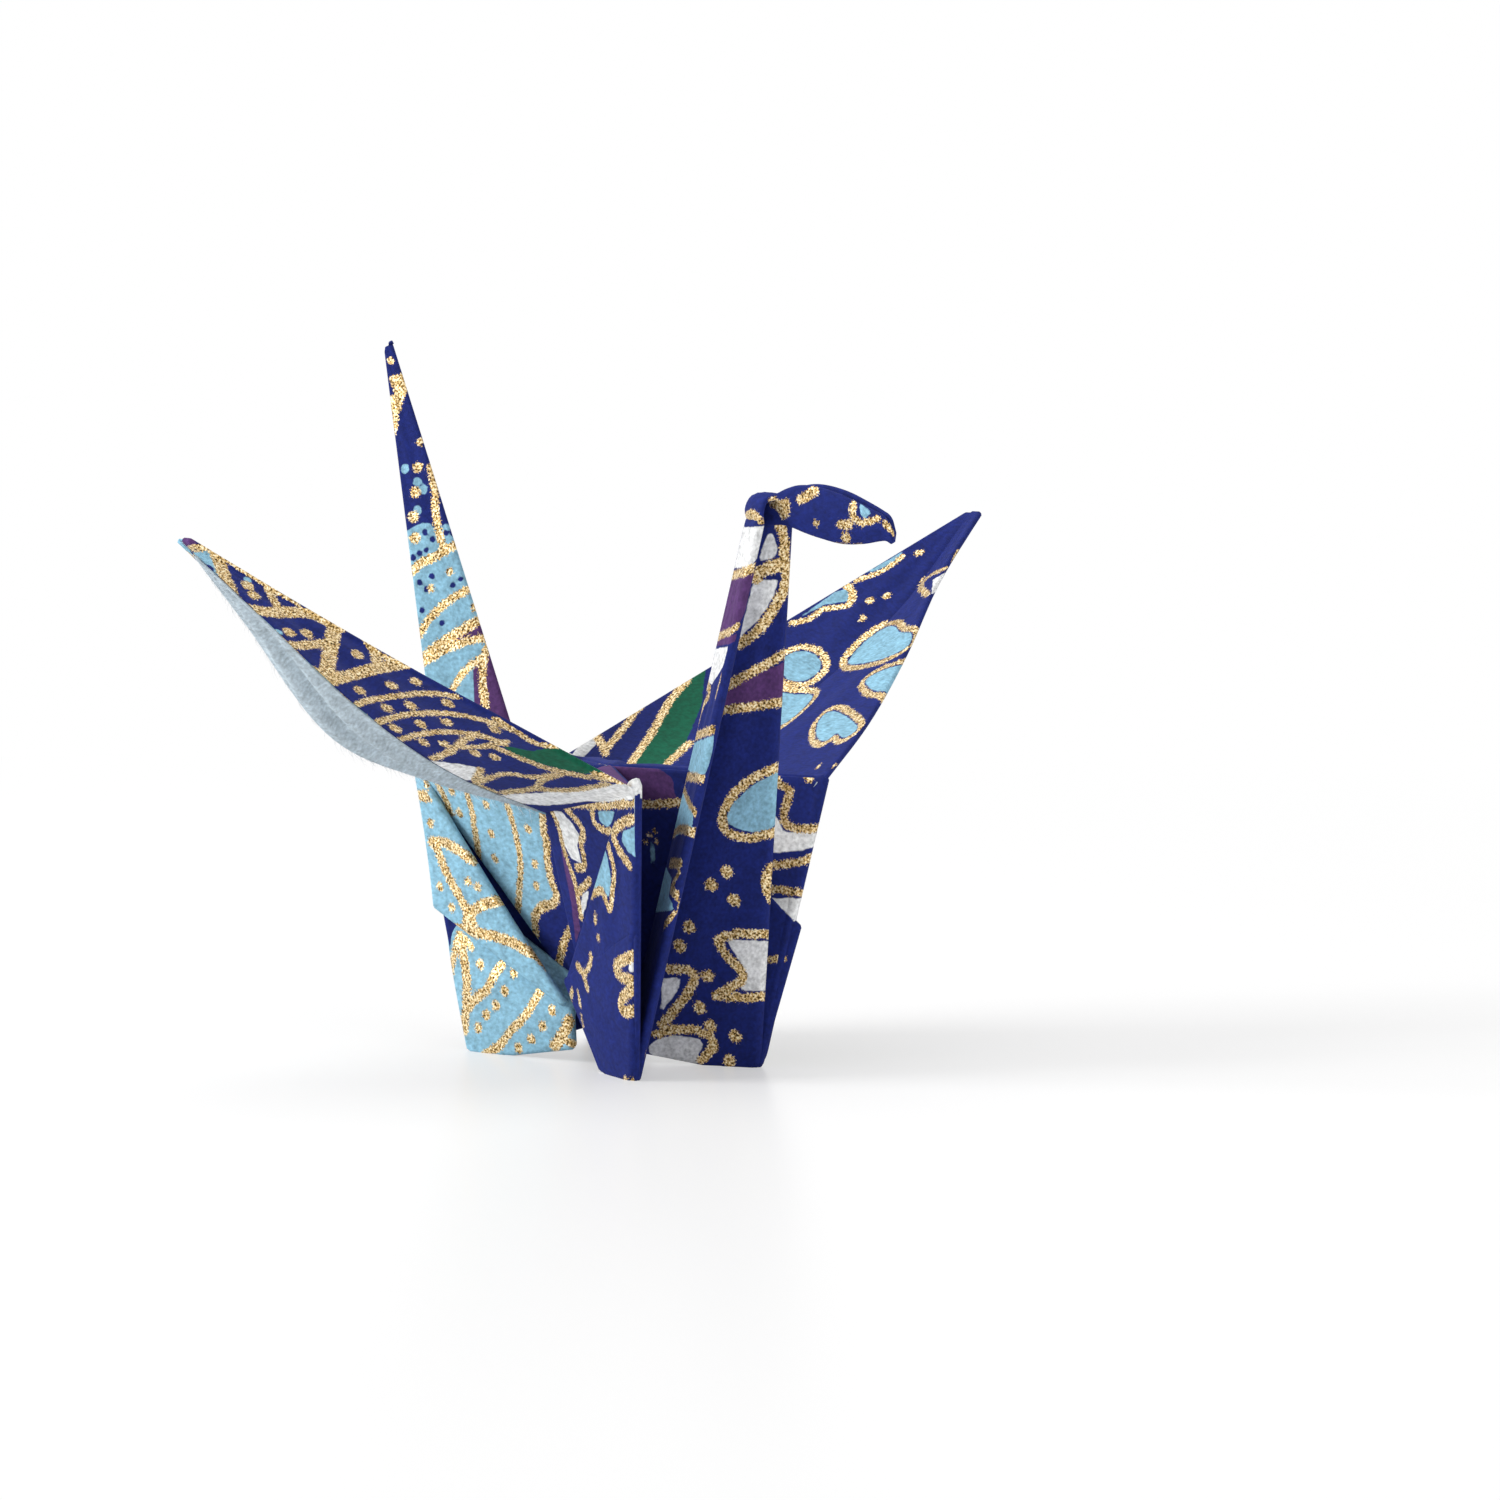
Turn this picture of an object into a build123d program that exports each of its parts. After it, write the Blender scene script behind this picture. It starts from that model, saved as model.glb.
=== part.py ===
"""Origami crane: one square sheet of washi, folded through the bird base and opened out to stand.

The crane looks along -Y, its wings point along X and it stands on four corners at Z = 0.
Left and right are as seen from in front, so left is towards -X.
Every leaf of the model is a stack of paper layers, and leaves that share a fold share its two end points.
"""
import os

from build123d import *

os.makedirs("parts", exist_ok=True)

# Paper
ply = 0.15  # one layer
fold_round = 0.1  # how far a fold's bead stands proud of the leaf it closes

# Body: the side panels, from the four standing corners up to the wing folds
foot_half = 3.8  # standing corners, from the middle plane
foot_flat = 0.2  # height of the flat that each standing corner is pressed to
foot_front = 7.0  # standing corners on the neck side
foot_back = 6.6  # standing corners on the tail side
waist_half = 2.45  # middle of a side panel's bottom edge
waist_rise = 1.1
pocket_half = 2.65  # where the two folded-over flaps of a side panel meet
pocket_rise = 4.3
pocket_step = 1.1  # depth of the base behind the flaps where they meet
base_lap = 1.5  # how far the base runs on past that, behind the flaps
flap_step = 0.2  # height of a lower flap over the flap beneath it
shoulder_half = 5.85  # wing fold, neck end
shoulder_front = 9.9
shoulder_rise = 14.8
hip_half = 4.7  # wing fold, tail end
hip_back = 10.0
hip_rise = 14.45
fold_half = 3.9  # wing fold, middle
fold_rise = 13.0
hump_rise = 15.0  # crown of the back between the wings
flap_corner = 1.3  # how far a neck flap reaches along the wing fold
second_flap = 7.8  # length of the lower flap up a panel's end edge

# Neck, head and tail: reverse-folded legs with an open V section
spine_front = 1.6  # foot of the neck's spine
spine_back = 1.05  # foot of the tail's spine
spine_rise = 2.1
neck_length = 28.1
neck_lean_deg = 22.6  # forward, from upright
neck_side_deg = -1.8
neck_width = 1.85  # one wall at the head fold
neck_spread_deg = 41.0  # half angle of the V at the head fold
neck_turn_deg = 20.0  # the V's mouth at the head fold, towards +X
head_length = 7.6  # beak, from the throat
head_depth = 2.25
crown_rise = 1.3  # top of the head fold, above the throat
head_half = 0.8  # half width of the open mouth
head_turn_deg = 11.0
head_behind = 1.57  # back of the head fold, from the throat
head_bend = 0.74  # where the head fold turns
head_sag = 0.25  # drop of the head's spine below the throat, near the neck
head_dip = 0.7  # and towards the beak
beak_depth = 0.7
tail_length = 37.5
tail_lean_deg = 26.0  # backward, from upright
tail_side_deg = -1.7
tail_tip = 0.4  # wall width left at the tip

# Wings
wing_length = 25.7
wing_rise_left_deg = 34.6
wing_rise_right_deg = 33.0
wing_sweep_deg = 3.8  # towards the tail
cup_inner = 0.6  # sag of the middle line at a quarter of the way out
cup_middle = 1.3  # half way
cup_outer = 1.2  # three quarters
droop_inner = 0.7  # sag of the right wing's neck-side edge, in the same places
droop_middle = 0.8
droop_outer = 0.2
pinch_inner = 0.3  # and how far that edge is drawn in
pinch_middle = 0.9
pinch_outer = 0.5
wing_tip = 0.5  # width left at the tip
wing_lap = 0.3  # overlap of the wing's two halves at the middle line
drop_inner = 2.9  # raw edge of the left wing's loose half, below its tail-side edge
drop_middle = 3.7
drop_outer = 1.0
reach_inner = 6.2  # and towards the neck
reach_middle = 2.5
reach_outer = 0.3
flap_slack = 0.09  # gap between the loose half and the half above it

# Layers in each leaf
panel_layers = 3
flap_layers = 4
gusset_layers = 2
roof_layers = 2
limb_layers = 4
head_layers = 2
tip_layers = 1.5  # the pressed tip of the tail
wing_layers = 2
loose_layers = 1


def toward(start, length, lean, side):
    """Return the point at a distance from start, leaning along Y from upright and then sideways along X."""
    upright = Vector(0, 0, length)
    return start + upright.rotate(Axis.X, -lean).rotate(Axis.Y, side)


def ribbon(path, thick):
    """Return the outline of a thick open line in a plane, mitred at its bends."""
    sides = [(b - a).normalized().rotate(Axis.Z, 90) for a, b in zip(path, path[1:])]
    mitres = [sides[0]]
    for before, after in zip(sides, sides[1:]):
        middle = (before + after).normalized()
        mitres.append(middle / middle.dot(before))
    mitres.append(sides[-1])
    one_face = [p + m * (thick / 2) for p, m in zip(path, mitres)]
    other_face = [p - m * (thick / 2) for p, m in zip(path, mitres)]
    return one_face + other_face[::-1]


def plate(outline, layers, lift=0.0):
    """Return a flat leaf. Its corners run anticlockwise seen from outside, and lift moves it outwards."""
    across = outline[1] - outline[0]
    facing = across.cross(outline[-1] - outline[0])
    plane = Plane(origin=outline[0], x_dir=across, z_dir=facing)
    with BuildPart() as leaf_part:
        with BuildSketch(plane.offset(lift)):
            with BuildLine():
                local = [plane.to_local_coords(p) for p in outline]
                Polyline(*[Vector(p.X, p.Y) for p in local], close=True)
            make_face()
        extrude(amount=layers * ply / 2, both=True)
    return leaf_part.part


def leaf(lines, along, layers):
    """Return a bent leaf that runs along a direction through a row of straight lines, each a pair of points."""
    with BuildPart() as leaf_part:
        for start, end in lines:
            across = end - start
            section = Plane(origin=(start + end) / 2, x_dir=across, z_dir=across.cross(along).cross(across))
            with BuildSketch(section):
                Rectangle(across.length, layers * ply)
        loft(ruled=True)
    return leaf_part.part


def gutter(stations, layers):
    """Return a V-shaped limb through stations of left edge, spine and right edge, with the layers at each."""
    with BuildPart() as limb_part:
        for (left, spine, right), count in zip(stations, layers):
            across = right - left
            plane = Plane(origin=spine, x_dir=across, z_dir=across.cross((left + right) / 2 - spine))
            with BuildSketch(plane):
                with BuildLine():
                    local = [plane.to_local_coords(p) for p in (left, spine, right)]
                    Polyline(*ribbon([Vector(p.X, p.Y) for p in local], count * ply), close=True)
                make_face()
        loft(ruled=True)
    return limb_part.part


def crease(start, end, layers):
    """Return the rounded bead of paper along a fold."""
    with BuildPart() as bead:
        with BuildSketch(Plane(origin=start, z_dir=end - start)):
            Circle(layers * ply / 2 + fold_round)
        extrude(amount=(end - start).length)
    return bead.part


def on_side(sense, half, y, z):
    """Return a point on the left (-1) or right (1) half of the body."""
    return Vector(sense * half, y, z)


hump = Vector(0, 0, hump_rise)
spine_n = Vector(0, -spine_front, spine_rise)
spine_t = Vector(0, spine_back, spine_rise)
feet_n = [on_side(sense, foot_half, -foot_front, 0) for sense in (-1, 1)]
feet_t = [on_side(sense, foot_half, foot_back, 0) for sense in (-1, 1)]
shoulders = [on_side(sense, shoulder_half, -shoulder_front, shoulder_rise) for sense in (-1, 1)]
hips = [on_side(sense, hip_half, hip_back, hip_rise) for sense in (-1, 1)]
folds = [on_side(sense, fold_half, 0, fold_rise) for sense in (-1, 1)]

with BuildPart() as body:
    for sense, foot_n, foot_t, shoulder, hip, fold in zip((-1, 1), feet_n, feet_t, shoulders, hips, folds):
        waist = on_side(sense, waist_half, 0, waist_rise)
        pocket = on_side(sense, pocket_half, 0, pocket_rise)
        pocket_behind = on_side(sense, pocket_half - pocket_step, 0, pocket_rise)
        base_foot = pocket_behind + (pocket_behind - fold).normalized() * base_lap
        flap_n = foot_n + (shoulder - foot_n).normalized() * second_flap
        flap_t = foot_t + (hip - foot_t).normalized() * second_flap
        # The wing's base, which runs on behind the flaps
        add(plate([fold, base_foot, shoulder], panel_layers))
        add(plate([fold, hip, base_foot], panel_layers))
        # Flaps folded over it from both ends, and the lower flaps on top of those
        flap_start = shoulder + (fold - shoulder).normalized() * flap_corner
        add(plate([shoulder, flap_start, pocket, waist, foot_n], flap_layers))
        add(plate([hip, foot_t, waist, pocket], flap_layers))
        add(plate([flap_n, pocket, waist, foot_n], flap_layers, -sense * flap_step))
        add(plate([flap_t, foot_t, waist, pocket], flap_layers, -sense * flap_step))
        # Gussets that run in from the end edges to the middle, and the back between the wings
        add(leaf([(foot_n, spine_n), (shoulder, hump)], Vector(0, 0, 1), gusset_layers))
        add(leaf([(foot_t, spine_t), (hip, hump)], Vector(0, 0, 1), gusset_layers))
        add(plate([hump, fold, shoulder], roof_layers))
        add(plate([hump, hip, fold], roof_layers))
        # Rounded folds
        add(crease(shoulder, fold, panel_layers))
        add(crease(fold, hip, panel_layers))
        add(crease(foot_n, shoulder, panel_layers))
        add(crease(foot_t, hip, panel_layers))

# Neck, from the standing corners to the head fold
nape = toward(spine_n, neck_length, -neck_lean_deg, neck_side_deg)
to_mouth = Vector(0, -1, 0).rotate(Axis.Z, neck_turn_deg)
throat_left = nape + to_mouth.rotate(Axis.Z, -neck_spread_deg) * neck_width
throat_right = nape + to_mouth.rotate(Axis.Z, neck_spread_deg) * neck_width

# Tail
tail_end = toward(spine_t, tail_length, tail_lean_deg, tail_side_deg)
tail_left, tail_right = [tail_end + (foot - spine_t).normalized() * tail_tip for foot in feet_t]

# Head, its spine below and its mouth above, from behind the head fold to the beak
forward = Vector(0, -1, 0).rotate(Axis.Z, head_turn_deg)
throat = (throat_left + throat_right) / 2


def head_station(reach, drop, depth, half):
    """Return left edge, spine and right edge of the head at a reach in front of the throat."""
    spine = throat + forward * reach - Vector(0, 0, drop)
    out = forward.rotate(Axis.Z, 90) * half
    return spine - out + Vector(0, 0, depth), spine, spine + out + Vector(0, 0, depth)


head_stations = [
    head_station(-head_behind, head_dip, crown_rise, head_half / 2),
    head_station(-head_bend, head_dip, head_dip + crown_rise, head_half / 2),
    head_station(head_length / 4, head_sag, head_dip + crown_rise, head_half),
    head_station(head_length / 2, head_dip, head_depth, head_half),
    head_station(head_length * 3 / 4, head_dip, head_depth * 3 / 4, head_half * 2 / 3),
    head_station(head_length, head_dip, beak_depth, beak_depth / 2),
]


def wing_end(root, rise, sense):
    """Return a wing's tip, on the side of the sense along X."""
    return root + Vector(0, 0, wing_length).rotate(Axis.Y, sense * (90 - rise)).rotate(Axis.Z, sense * wing_sweep_deg)


def between(start, end, sags, direction):
    """Return a line from start to end that sags at its quarter points along a direction."""
    inner = [start + (end - start) * i / 4 + direction * sag for i, sag in enumerate(sags, 1)]
    return [start] + inner + [end]


def wing_half(edge, middle, layers, lap):
    """Return one half of a wing, from its folded edge to its middle line and a lap beyond it."""
    lines = [(outer, inner + lap) for outer, inner in zip(edge, middle)]
    return leaf(lines, middle[-1] - middle[0], layers)


straight = (0, 0, 0)
wing_cup = (cup_inner, cup_middle, cup_outer)
wing_droop = (droop_inner, droop_middle, droop_outer)
wing_pinch = (0, pinch_inner, pinch_middle, pinch_outer, 0)
flap_drop = (drop_inner, drop_middle, drop_outer)
flap_reach = (reach_inner, reach_middle, reach_outer)

with BuildPart() as left_wing:
    root = folds[0]
    along_fold = (hips[0] - shoulders[0]).normalized()
    end = wing_end(root, wing_rise_left_deg, -1)
    downward = (end - root).cross(along_fold).normalized()
    middle = between(root, end, wing_cup, downward)
    neck_edge = between(shoulders[0], end - along_fold * wing_tip, straight, downward)
    tail_edge = between(hips[0], end + along_fold * wing_tip, straight, downward)
    add(wing_half(neck_edge, middle, wing_layers, along_fold * wing_lap))
    add(wing_half(tail_edge, middle, loose_layers, Vector(0, 0, 0)))
    # The loose half of the underside hangs open from the tail-side edge
    under = downward * flap_slack
    hinge = [point + under for point in tail_edge]
    raw_edge = [point - Vector(0, reach, drop) for point, reach, drop in zip(hinge[1:-1], flap_reach, flap_drop)]
    add(leaf(list(zip(hinge, [root + under] + raw_edge + [end + under])), end - root, loose_layers))

with BuildPart() as right_wing:
    root = folds[1]
    along_fold = (hips[1] - shoulders[1]).normalized()
    end = wing_end(root, wing_rise_right_deg, 1)
    downward = along_fold.cross(end - root).normalized()
    middle = between(root, end, wing_cup, downward)
    drooped = between(shoulders[1], end - along_fold * wing_tip, wing_droop, downward)
    neck_edge = [point + along_fold * pinch for point, pinch in zip(drooped, wing_pinch)]
    tail_edge = between(hips[1], end + along_fold * wing_tip, straight, downward)
    add(wing_half(neck_edge, middle, wing_layers, along_fold * wing_lap))
    add(wing_half(tail_edge, middle, loose_layers, Vector(0, 0, 0)))

with BuildPart() as crane:
    add(body.part)
    add(gutter([(feet_n[0], spine_n, feet_n[1]), (throat_left, nape, throat_right)], (limb_layers, limb_layers)))
    add(gutter([(feet_t[0], spine_t, feet_t[1]), (tail_left, tail_end, tail_right)], (limb_layers, tip_layers)))
    add(gutter(head_stations, [head_layers] * len(head_stations)))
    add(left_wing.part)
    add(right_wing.part)
    split(bisect_by=Plane.XY.offset(foot_flat), keep=Keep.TOP)

# The origin goes to the middle of the crane's footprint, on the surface that it stands on
footprint = crane.part.bounding_box().center()
paper_crane = crane.part.moved(Location((-footprint.X, -footprint.Y, -foot_flat)))
paper_crane.label = "paper_crane"
export_step(paper_crane, "parts/paper_crane.step")
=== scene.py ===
"""Dresses the origami crane: thin folded leaves of printed washi, standing on its corners."""
import logging
import math
from dataclasses import dataclass, replace
from enum import Enum

import bpy
import numpy as np
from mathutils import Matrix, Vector


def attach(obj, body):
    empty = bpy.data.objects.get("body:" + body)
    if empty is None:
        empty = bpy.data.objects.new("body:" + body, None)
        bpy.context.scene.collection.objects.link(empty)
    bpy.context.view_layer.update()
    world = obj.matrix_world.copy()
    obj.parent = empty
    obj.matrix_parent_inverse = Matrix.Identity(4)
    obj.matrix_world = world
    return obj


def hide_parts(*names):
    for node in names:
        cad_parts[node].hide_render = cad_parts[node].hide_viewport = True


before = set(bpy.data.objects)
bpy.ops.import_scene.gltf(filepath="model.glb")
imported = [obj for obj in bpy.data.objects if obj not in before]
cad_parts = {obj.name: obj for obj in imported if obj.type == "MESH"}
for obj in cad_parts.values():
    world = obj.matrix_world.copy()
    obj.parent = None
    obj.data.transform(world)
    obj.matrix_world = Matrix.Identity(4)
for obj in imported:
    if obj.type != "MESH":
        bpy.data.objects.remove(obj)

LOG = logging.getLogger("crane")
MM = 0.001
NODE = "paper_crane"
BODY = "root"
PITCH = 0.2  # mm between the points of a leaf
CURVE_STEPS = 6  # runs from one given point of a printed curve to the next
TINY = 1e-9  # keeps a division off zero

Point = tuple[float, float]
Array = np.ndarray


def linear(red: int, green: int, blue: int) -> tuple[float, float, float, float]:
    """Return an sRGB colour as a linear one, for a shader's socket."""
    parts = [c / 255 for c in (red, green, blue)]
    return (*[p / 12.92 if p <= 0.04045 else ((p + 0.055) / 1.055) ** 2.4 for p in parts], 1.0)


def unit(vector: Array) -> Array:
    """Return vectors at a length of one, along the last axis."""
    size = np.linalg.norm(vector, axis=-1, keepdims=True)
    return vector / np.maximum(size, TINY)


def smooth_line(points: Array, count: int, closed: bool = False) -> Array:
    """Return a smooth line, a Catmull-Rom curve, through points.

    Args:
        points: the points that it passes, in order.
        count: points in the result.
        closed: True for a ring, whose end joins its start.

    Returns:
        The line's points, evenly spread from one given point to the next.
    """
    points = np.asarray(points, float)
    last = len(points) if closed else len(points) - 1
    at = np.linspace(0, last, count, endpoint=not closed)
    cell = np.minimum(at.astype(int), last - 1)
    part = (at - cell)[:, None]
    if closed:
        before, start, end, after = (points[(cell + k) % len(points)] for k in (-1, 0, 1, 2))
    else:
        ends = np.vstack([2 * points[0] - points[1], points, 2 * points[-1] - points[-2]])
        before, start, end, after = (ends[cell + k] for k in (0, 1, 2, 3))
    slope = (end - before) / 2
    curve = before - 2.5 * start + 2 * end - after / 2
    twist = (after - before) / 2 + 1.5 * (start - end)
    return start + part * (slope + part * (curve + part * twist))


def bent_line(points: Array, count: int) -> Array:
    """Return a line of straight runs through points."""
    points = np.asarray(points, float)
    at = np.linspace(0, len(points) - 1, count)
    return np.stack([np.interp(at, np.arange(len(points)), axis) for axis in points.T], axis=1)


def toward(start: Array, end: Array, share: float) -> Array:
    """Return the point a share of the way from start to end."""
    return start + (end - start) * share


def leaning(length: float, lean: float, aside: float) -> Array:
    """Return a run that leans along Y from upright and then sideways along X, in degrees."""
    tilt, turn = math.radians(lean), math.radians(aside)
    y, z = length * math.sin(tilt), length * math.cos(tilt)
    return np.array((z * math.sin(turn), y, z * math.cos(turn)))


def level(turn: float) -> Array:
    """Return the level direction that is turned from the crane's front, towards +X."""
    angle = math.radians(turn)
    return np.array((math.sin(angle), -math.cos(angle), 0.0))


def side_of(name: str, side: int) -> str:
    """Return a leaf's name with its side, left or right as seen from in front."""
    return f"{name}_{'left' if side < 0 else 'right'}"


@dataclass(frozen=True)
class PhotoCamera:
    """The photograph's viewpoint, in mm and degrees in the crane's frame."""

    azimuth: float = -38.2
    elevation: float = 5.6
    distance: float = 380.0
    focal_px: float = 7562.0
    image_px: float = 1500.0
    sensor: float = 36.0
    clip_end: float = 10.0  # metres
    aim: tuple[float, float, float] = (5.32, -2.64, 15.63)

    def axes(self) -> tuple[Array, Array, Array]:
        """Return the view's right, up and backward directions."""
        turn, rise = math.radians(self.azimuth), math.radians(self.elevation)
        back = np.array((math.sin(turn) * math.cos(rise), -math.cos(turn) * math.cos(rise), math.sin(rise)))
        right = np.array((math.cos(turn), math.sin(turn), 0.0))
        return right, np.cross(back, right), back

    def eye(self) -> Array:
        """Return where the camera stands."""
        return np.array(self.aim) + self.axes()[2] * self.distance

    def rays(self, pixels: Array) -> Array:
        """Return the directions in which pixels of the photograph look."""
        right, up, back = self.axes()
        aside = (np.asarray(pixels, float) - self.image_px / 2) / self.focal_px
        return aside[:, :1] * right - aside[:, 1:] * up - back

    def place(self) -> bpy.types.Object:
        """Return the scene's camera, set up at this viewpoint."""
        lens = bpy.data.cameras.new("photo_camera")
        lens.sensor_width = self.sensor
        lens.lens = self.focal_px / self.image_px * self.sensor
        lens.clip_end = self.clip_end
        camera = bpy.data.objects.new("photo_camera", lens)
        camera.location = Vector(self.eye() * MM)
        camera.rotation_euler = Vector(-self.axes()[2]).to_track_quat("-Z", "Y").to_euler()
        bpy.context.scene.collection.objects.link(camera)
        bpy.context.scene.camera = camera
        return camera


CAMERA = PhotoCamera()


@dataclass(frozen=True)
class Window:
    """An enlarged window of the photograph, in which the motifs of the print were placed."""

    left: float
    top: float
    zoom: float

    def pixels(self, points: Array) -> Array:
        """Return points of the window as pixels of the photograph."""
        return np.asarray(points, float) / self.zoom + np.array((self.left, self.top))


NEAR_PANEL = Window(left=400, top=770, zoom=5.225)
NEAR_CORNER = Window(left=540, top=770, zoom=4.75)
LEFT_WING = Window(left=150, top=500, zoom=3.0745)
RIGHT_WING = Window(left=760, top=480, zoom=3.267)
TAIL = Window(left=370, top=330, zoom=3.8244)
NECK_TOP = Window(left=620, top=460, zoom=4.9)
NECK_FOOT = Window(left=600, top=740, zoom=4.3555)


class Ink(Enum):
    """The print's colours, by the attribute that holds the distance to each one's edge."""

    BLUE = "ink_blue"
    PURPLE = "ink_purple"
    GREEN = "ink_green"
    WHITE = "ink_white"
    GOLD = "ink_gold"
    BARE = "ink_bare"
    INDIGO = "ink_indigo"


FIELDS = (Ink.BLUE, Ink.PURPLE, Ink.GREEN, Ink.WHITE, Ink.BARE)
FAR_AWAY = 2.0  # mm, the greatest distance that is kept
RIM_GAP = 0.08  # mm of ground that shows between a shape and its gold rim


def line_distance(points: Array, line: Array) -> Array:
    """Return the distance of each point to an open line."""
    nearest = np.full(len(points), np.inf)
    for start, end in zip(line, line[1:]):
        run = end - start
        share = np.clip(((points - start) @ run) / max(run @ run, TINY), 0, 1)
        nearest = np.minimum(nearest, np.linalg.norm(points - start - share[:, None] * run, axis=1))
    return nearest


def area_distance(points: Array, ring: Array) -> Array:
    """Return the distance of each point to a closed outline, negative inside it."""
    closed = np.vstack([ring, ring[:1]])
    inside = np.zeros(len(points), bool)
    for start, end in zip(closed, closed[1:]):
        spans = (start[1] > points[:, 1]) != (end[1] > points[:, 1])
        rise = end[1] - start[1]
        rise = rise if abs(rise) > TINY else TINY
        crossing = start[0] + (points[:, 1] - start[1]) * (end[0] - start[0]) / rise
        inside ^= spans & (points[:, 0] < crossing)
    return line_distance(points, closed) * np.where(inside, -1, 1)


@dataclass(frozen=True)
class Stroke:
    """A brushed line of one ink. Its width is in mm, its path in a window or on its leaf."""

    name: str
    path: tuple[Point, ...]
    width: float = 0.48
    ink: Ink = Ink.GOLD
    window: Window | None = None

    def distance(self, points: Array, flat: "Flat") -> Array:
        """Return the distance of points on a leaf to the stroke's edge."""
        spots = flat.spots(np.array(self.path, float), self.window)
        line = smooth_line(spots, CURVE_STEPS * (len(spots) - 1) + 1) if len(spots) > 2 else spots
        return line_distance(points, line) - self.width / 2


@dataclass(frozen=True)
class Dots:
    """Round dabs of one ink. The radius is in mm."""

    name: str
    at: tuple[Point, ...]
    radius: float = 0.27
    ink: Ink = Ink.GOLD
    window: Window | None = None

    def distance(self, points: Array, flat: "Flat") -> Array:
        """Return the distance of points on a leaf to the nearest dab's edge."""
        spots = flat.spots(np.array(self.at, float), self.window)
        return np.min([np.linalg.norm(points - spot, axis=1) for spot in spots], axis=0) - self.radius


@dataclass(frozen=True)
class Patch:
    """A filled shape of one ink, with a gold rim of a width in mm where it has one."""

    name: str
    ink: Ink
    outline: tuple[Point, ...]
    rim: float = 0.0
    smooth: bool = False
    window: Window | None = None

    def distance(self, points: Array, flat: "Flat") -> Array:
        """Return the signed distance of points on a leaf to the shape's edge."""
        spots = flat.spots(np.array(self.outline, float), self.window)
        ring = smooth_line(spots, CURVE_STEPS * len(spots), closed=True) if self.smooth else spots
        return area_distance(points, ring)


Motif = Stroke | Dots | Patch


def placed(window: Window, motifs: tuple[Motif, ...]) -> tuple[Motif, ...]:
    """Return motifs as placed in a window of the photograph."""
    return tuple(replace(motif, window=window) for motif in motifs)


@dataclass(frozen=True)
class Flat:
    """A leaf's own plane, on which its print is laid out in mm."""

    origin: Array
    along: Array
    across: Array
    facing: Array
    seen: bool

    def drop(self, points: Array) -> Array:
        """Return the plane's coordinates of points in space.

        Args:
            points: points on or near the plane.

        Returns:
            Their places along and across: as seen from the photograph's viewpoint where the print was placed
            from there, square to the plane otherwise.
        """
        if self.seen:
            eye = CAMERA.eye()
            return self._meet(eye, points - eye)
        return np.stack([(points - self.origin) @ self.along, (points - self.origin) @ self.across], axis=1)

    def spots(self, points: Array, window: Window | None) -> Array:
        """Return the plane's coordinates of a motif's points, from the window that they were placed in."""
        if window is None:
            return points
        return self._meet(CAMERA.eye(), CAMERA.rays(window.pixels(points)))

    def _meet(self, eye: Array, rays: Array) -> Array:
        """Return where rays from the eye meet the plane."""
        reach = ((self.origin - eye) @ self.facing) / (rays @ self.facing)
        hits = eye + rays * reach[:, None] - self.origin
        return np.stack([hits @ self.along, hits @ self.across], axis=1)


@dataclass
class FacePrint:
    """What is printed on one face of a leaf: a ground of one ink and motifs painted over it in order."""

    ground: Ink = Ink.INDIGO
    motifs: tuple[Motif, ...] = ()

    def seen(self) -> bool:
        """Return whether the motifs were placed in windows of the photograph."""
        return any(motif.window is not None for motif in self.motifs)

    def fields(self, points: Array, flat: Flat) -> dict[Ink, Array]:
        """Return the distance to each ink's edge at points on the face.

        Args:
            points: points of the face, in mm.
            flat: the leaf's plane.

        Returns:
            A distance in mm for each ink, negative where the ink lies.
        """
        spots = flat.drop(points)
        found = {ink: np.full(len(points), FAR_AWAY) for ink in (*FIELDS, Ink.GOLD)}
        if self.ground in found:
            found[self.ground][:] = -FAR_AWAY
        for motif in self.motifs:
            reach = motif.distance(spots, flat)
            if motif.ink is Ink.GOLD:
                found[Ink.GOLD] = np.minimum(found[Ink.GOLD], reach)
                continue
            for ink in FIELDS:
                if ink is motif.ink:
                    found[ink] = np.minimum(found[ink], reach)
                else:
                    found[ink] = np.maximum(found[ink], -reach)
            rim = getattr(motif, "rim", 0.0)
            if rim:
                found[Ink.GOLD] = np.minimum(found[Ink.GOLD], np.abs(reach - RIM_GAP - rim / 2) - rim / 2)
        return {ink: np.clip(value, -FAR_AWAY, FAR_AWAY) for ink, value in found.items()}


BARE_FACE = FacePrint(Ink.BARE)
# Plain indigo: the print's ground on most faces, and painted shade on the tail's gussets
DARK_FACE = FacePrint(Ink.INDIGO)


# The gold on the head's fold, which the knot and the cheek share
FOLD_DAB = Patch("fold dab", Ink.GOLD, (
    (728, 190), (760, 180), (790, 200), (820, 188), (836, 220), (826, 270), (800, 292), (772, 250),
    (735, 226),
), smooth=True)

# The line between blue and indigo beside the panel's slit
SLIT_BORDER = ((745, 225), (748, 300), (765, 380), (770, 470), (785, 560), (815, 650), (800, 695), (740, 720),
    (705, 770), (708, 850))

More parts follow.
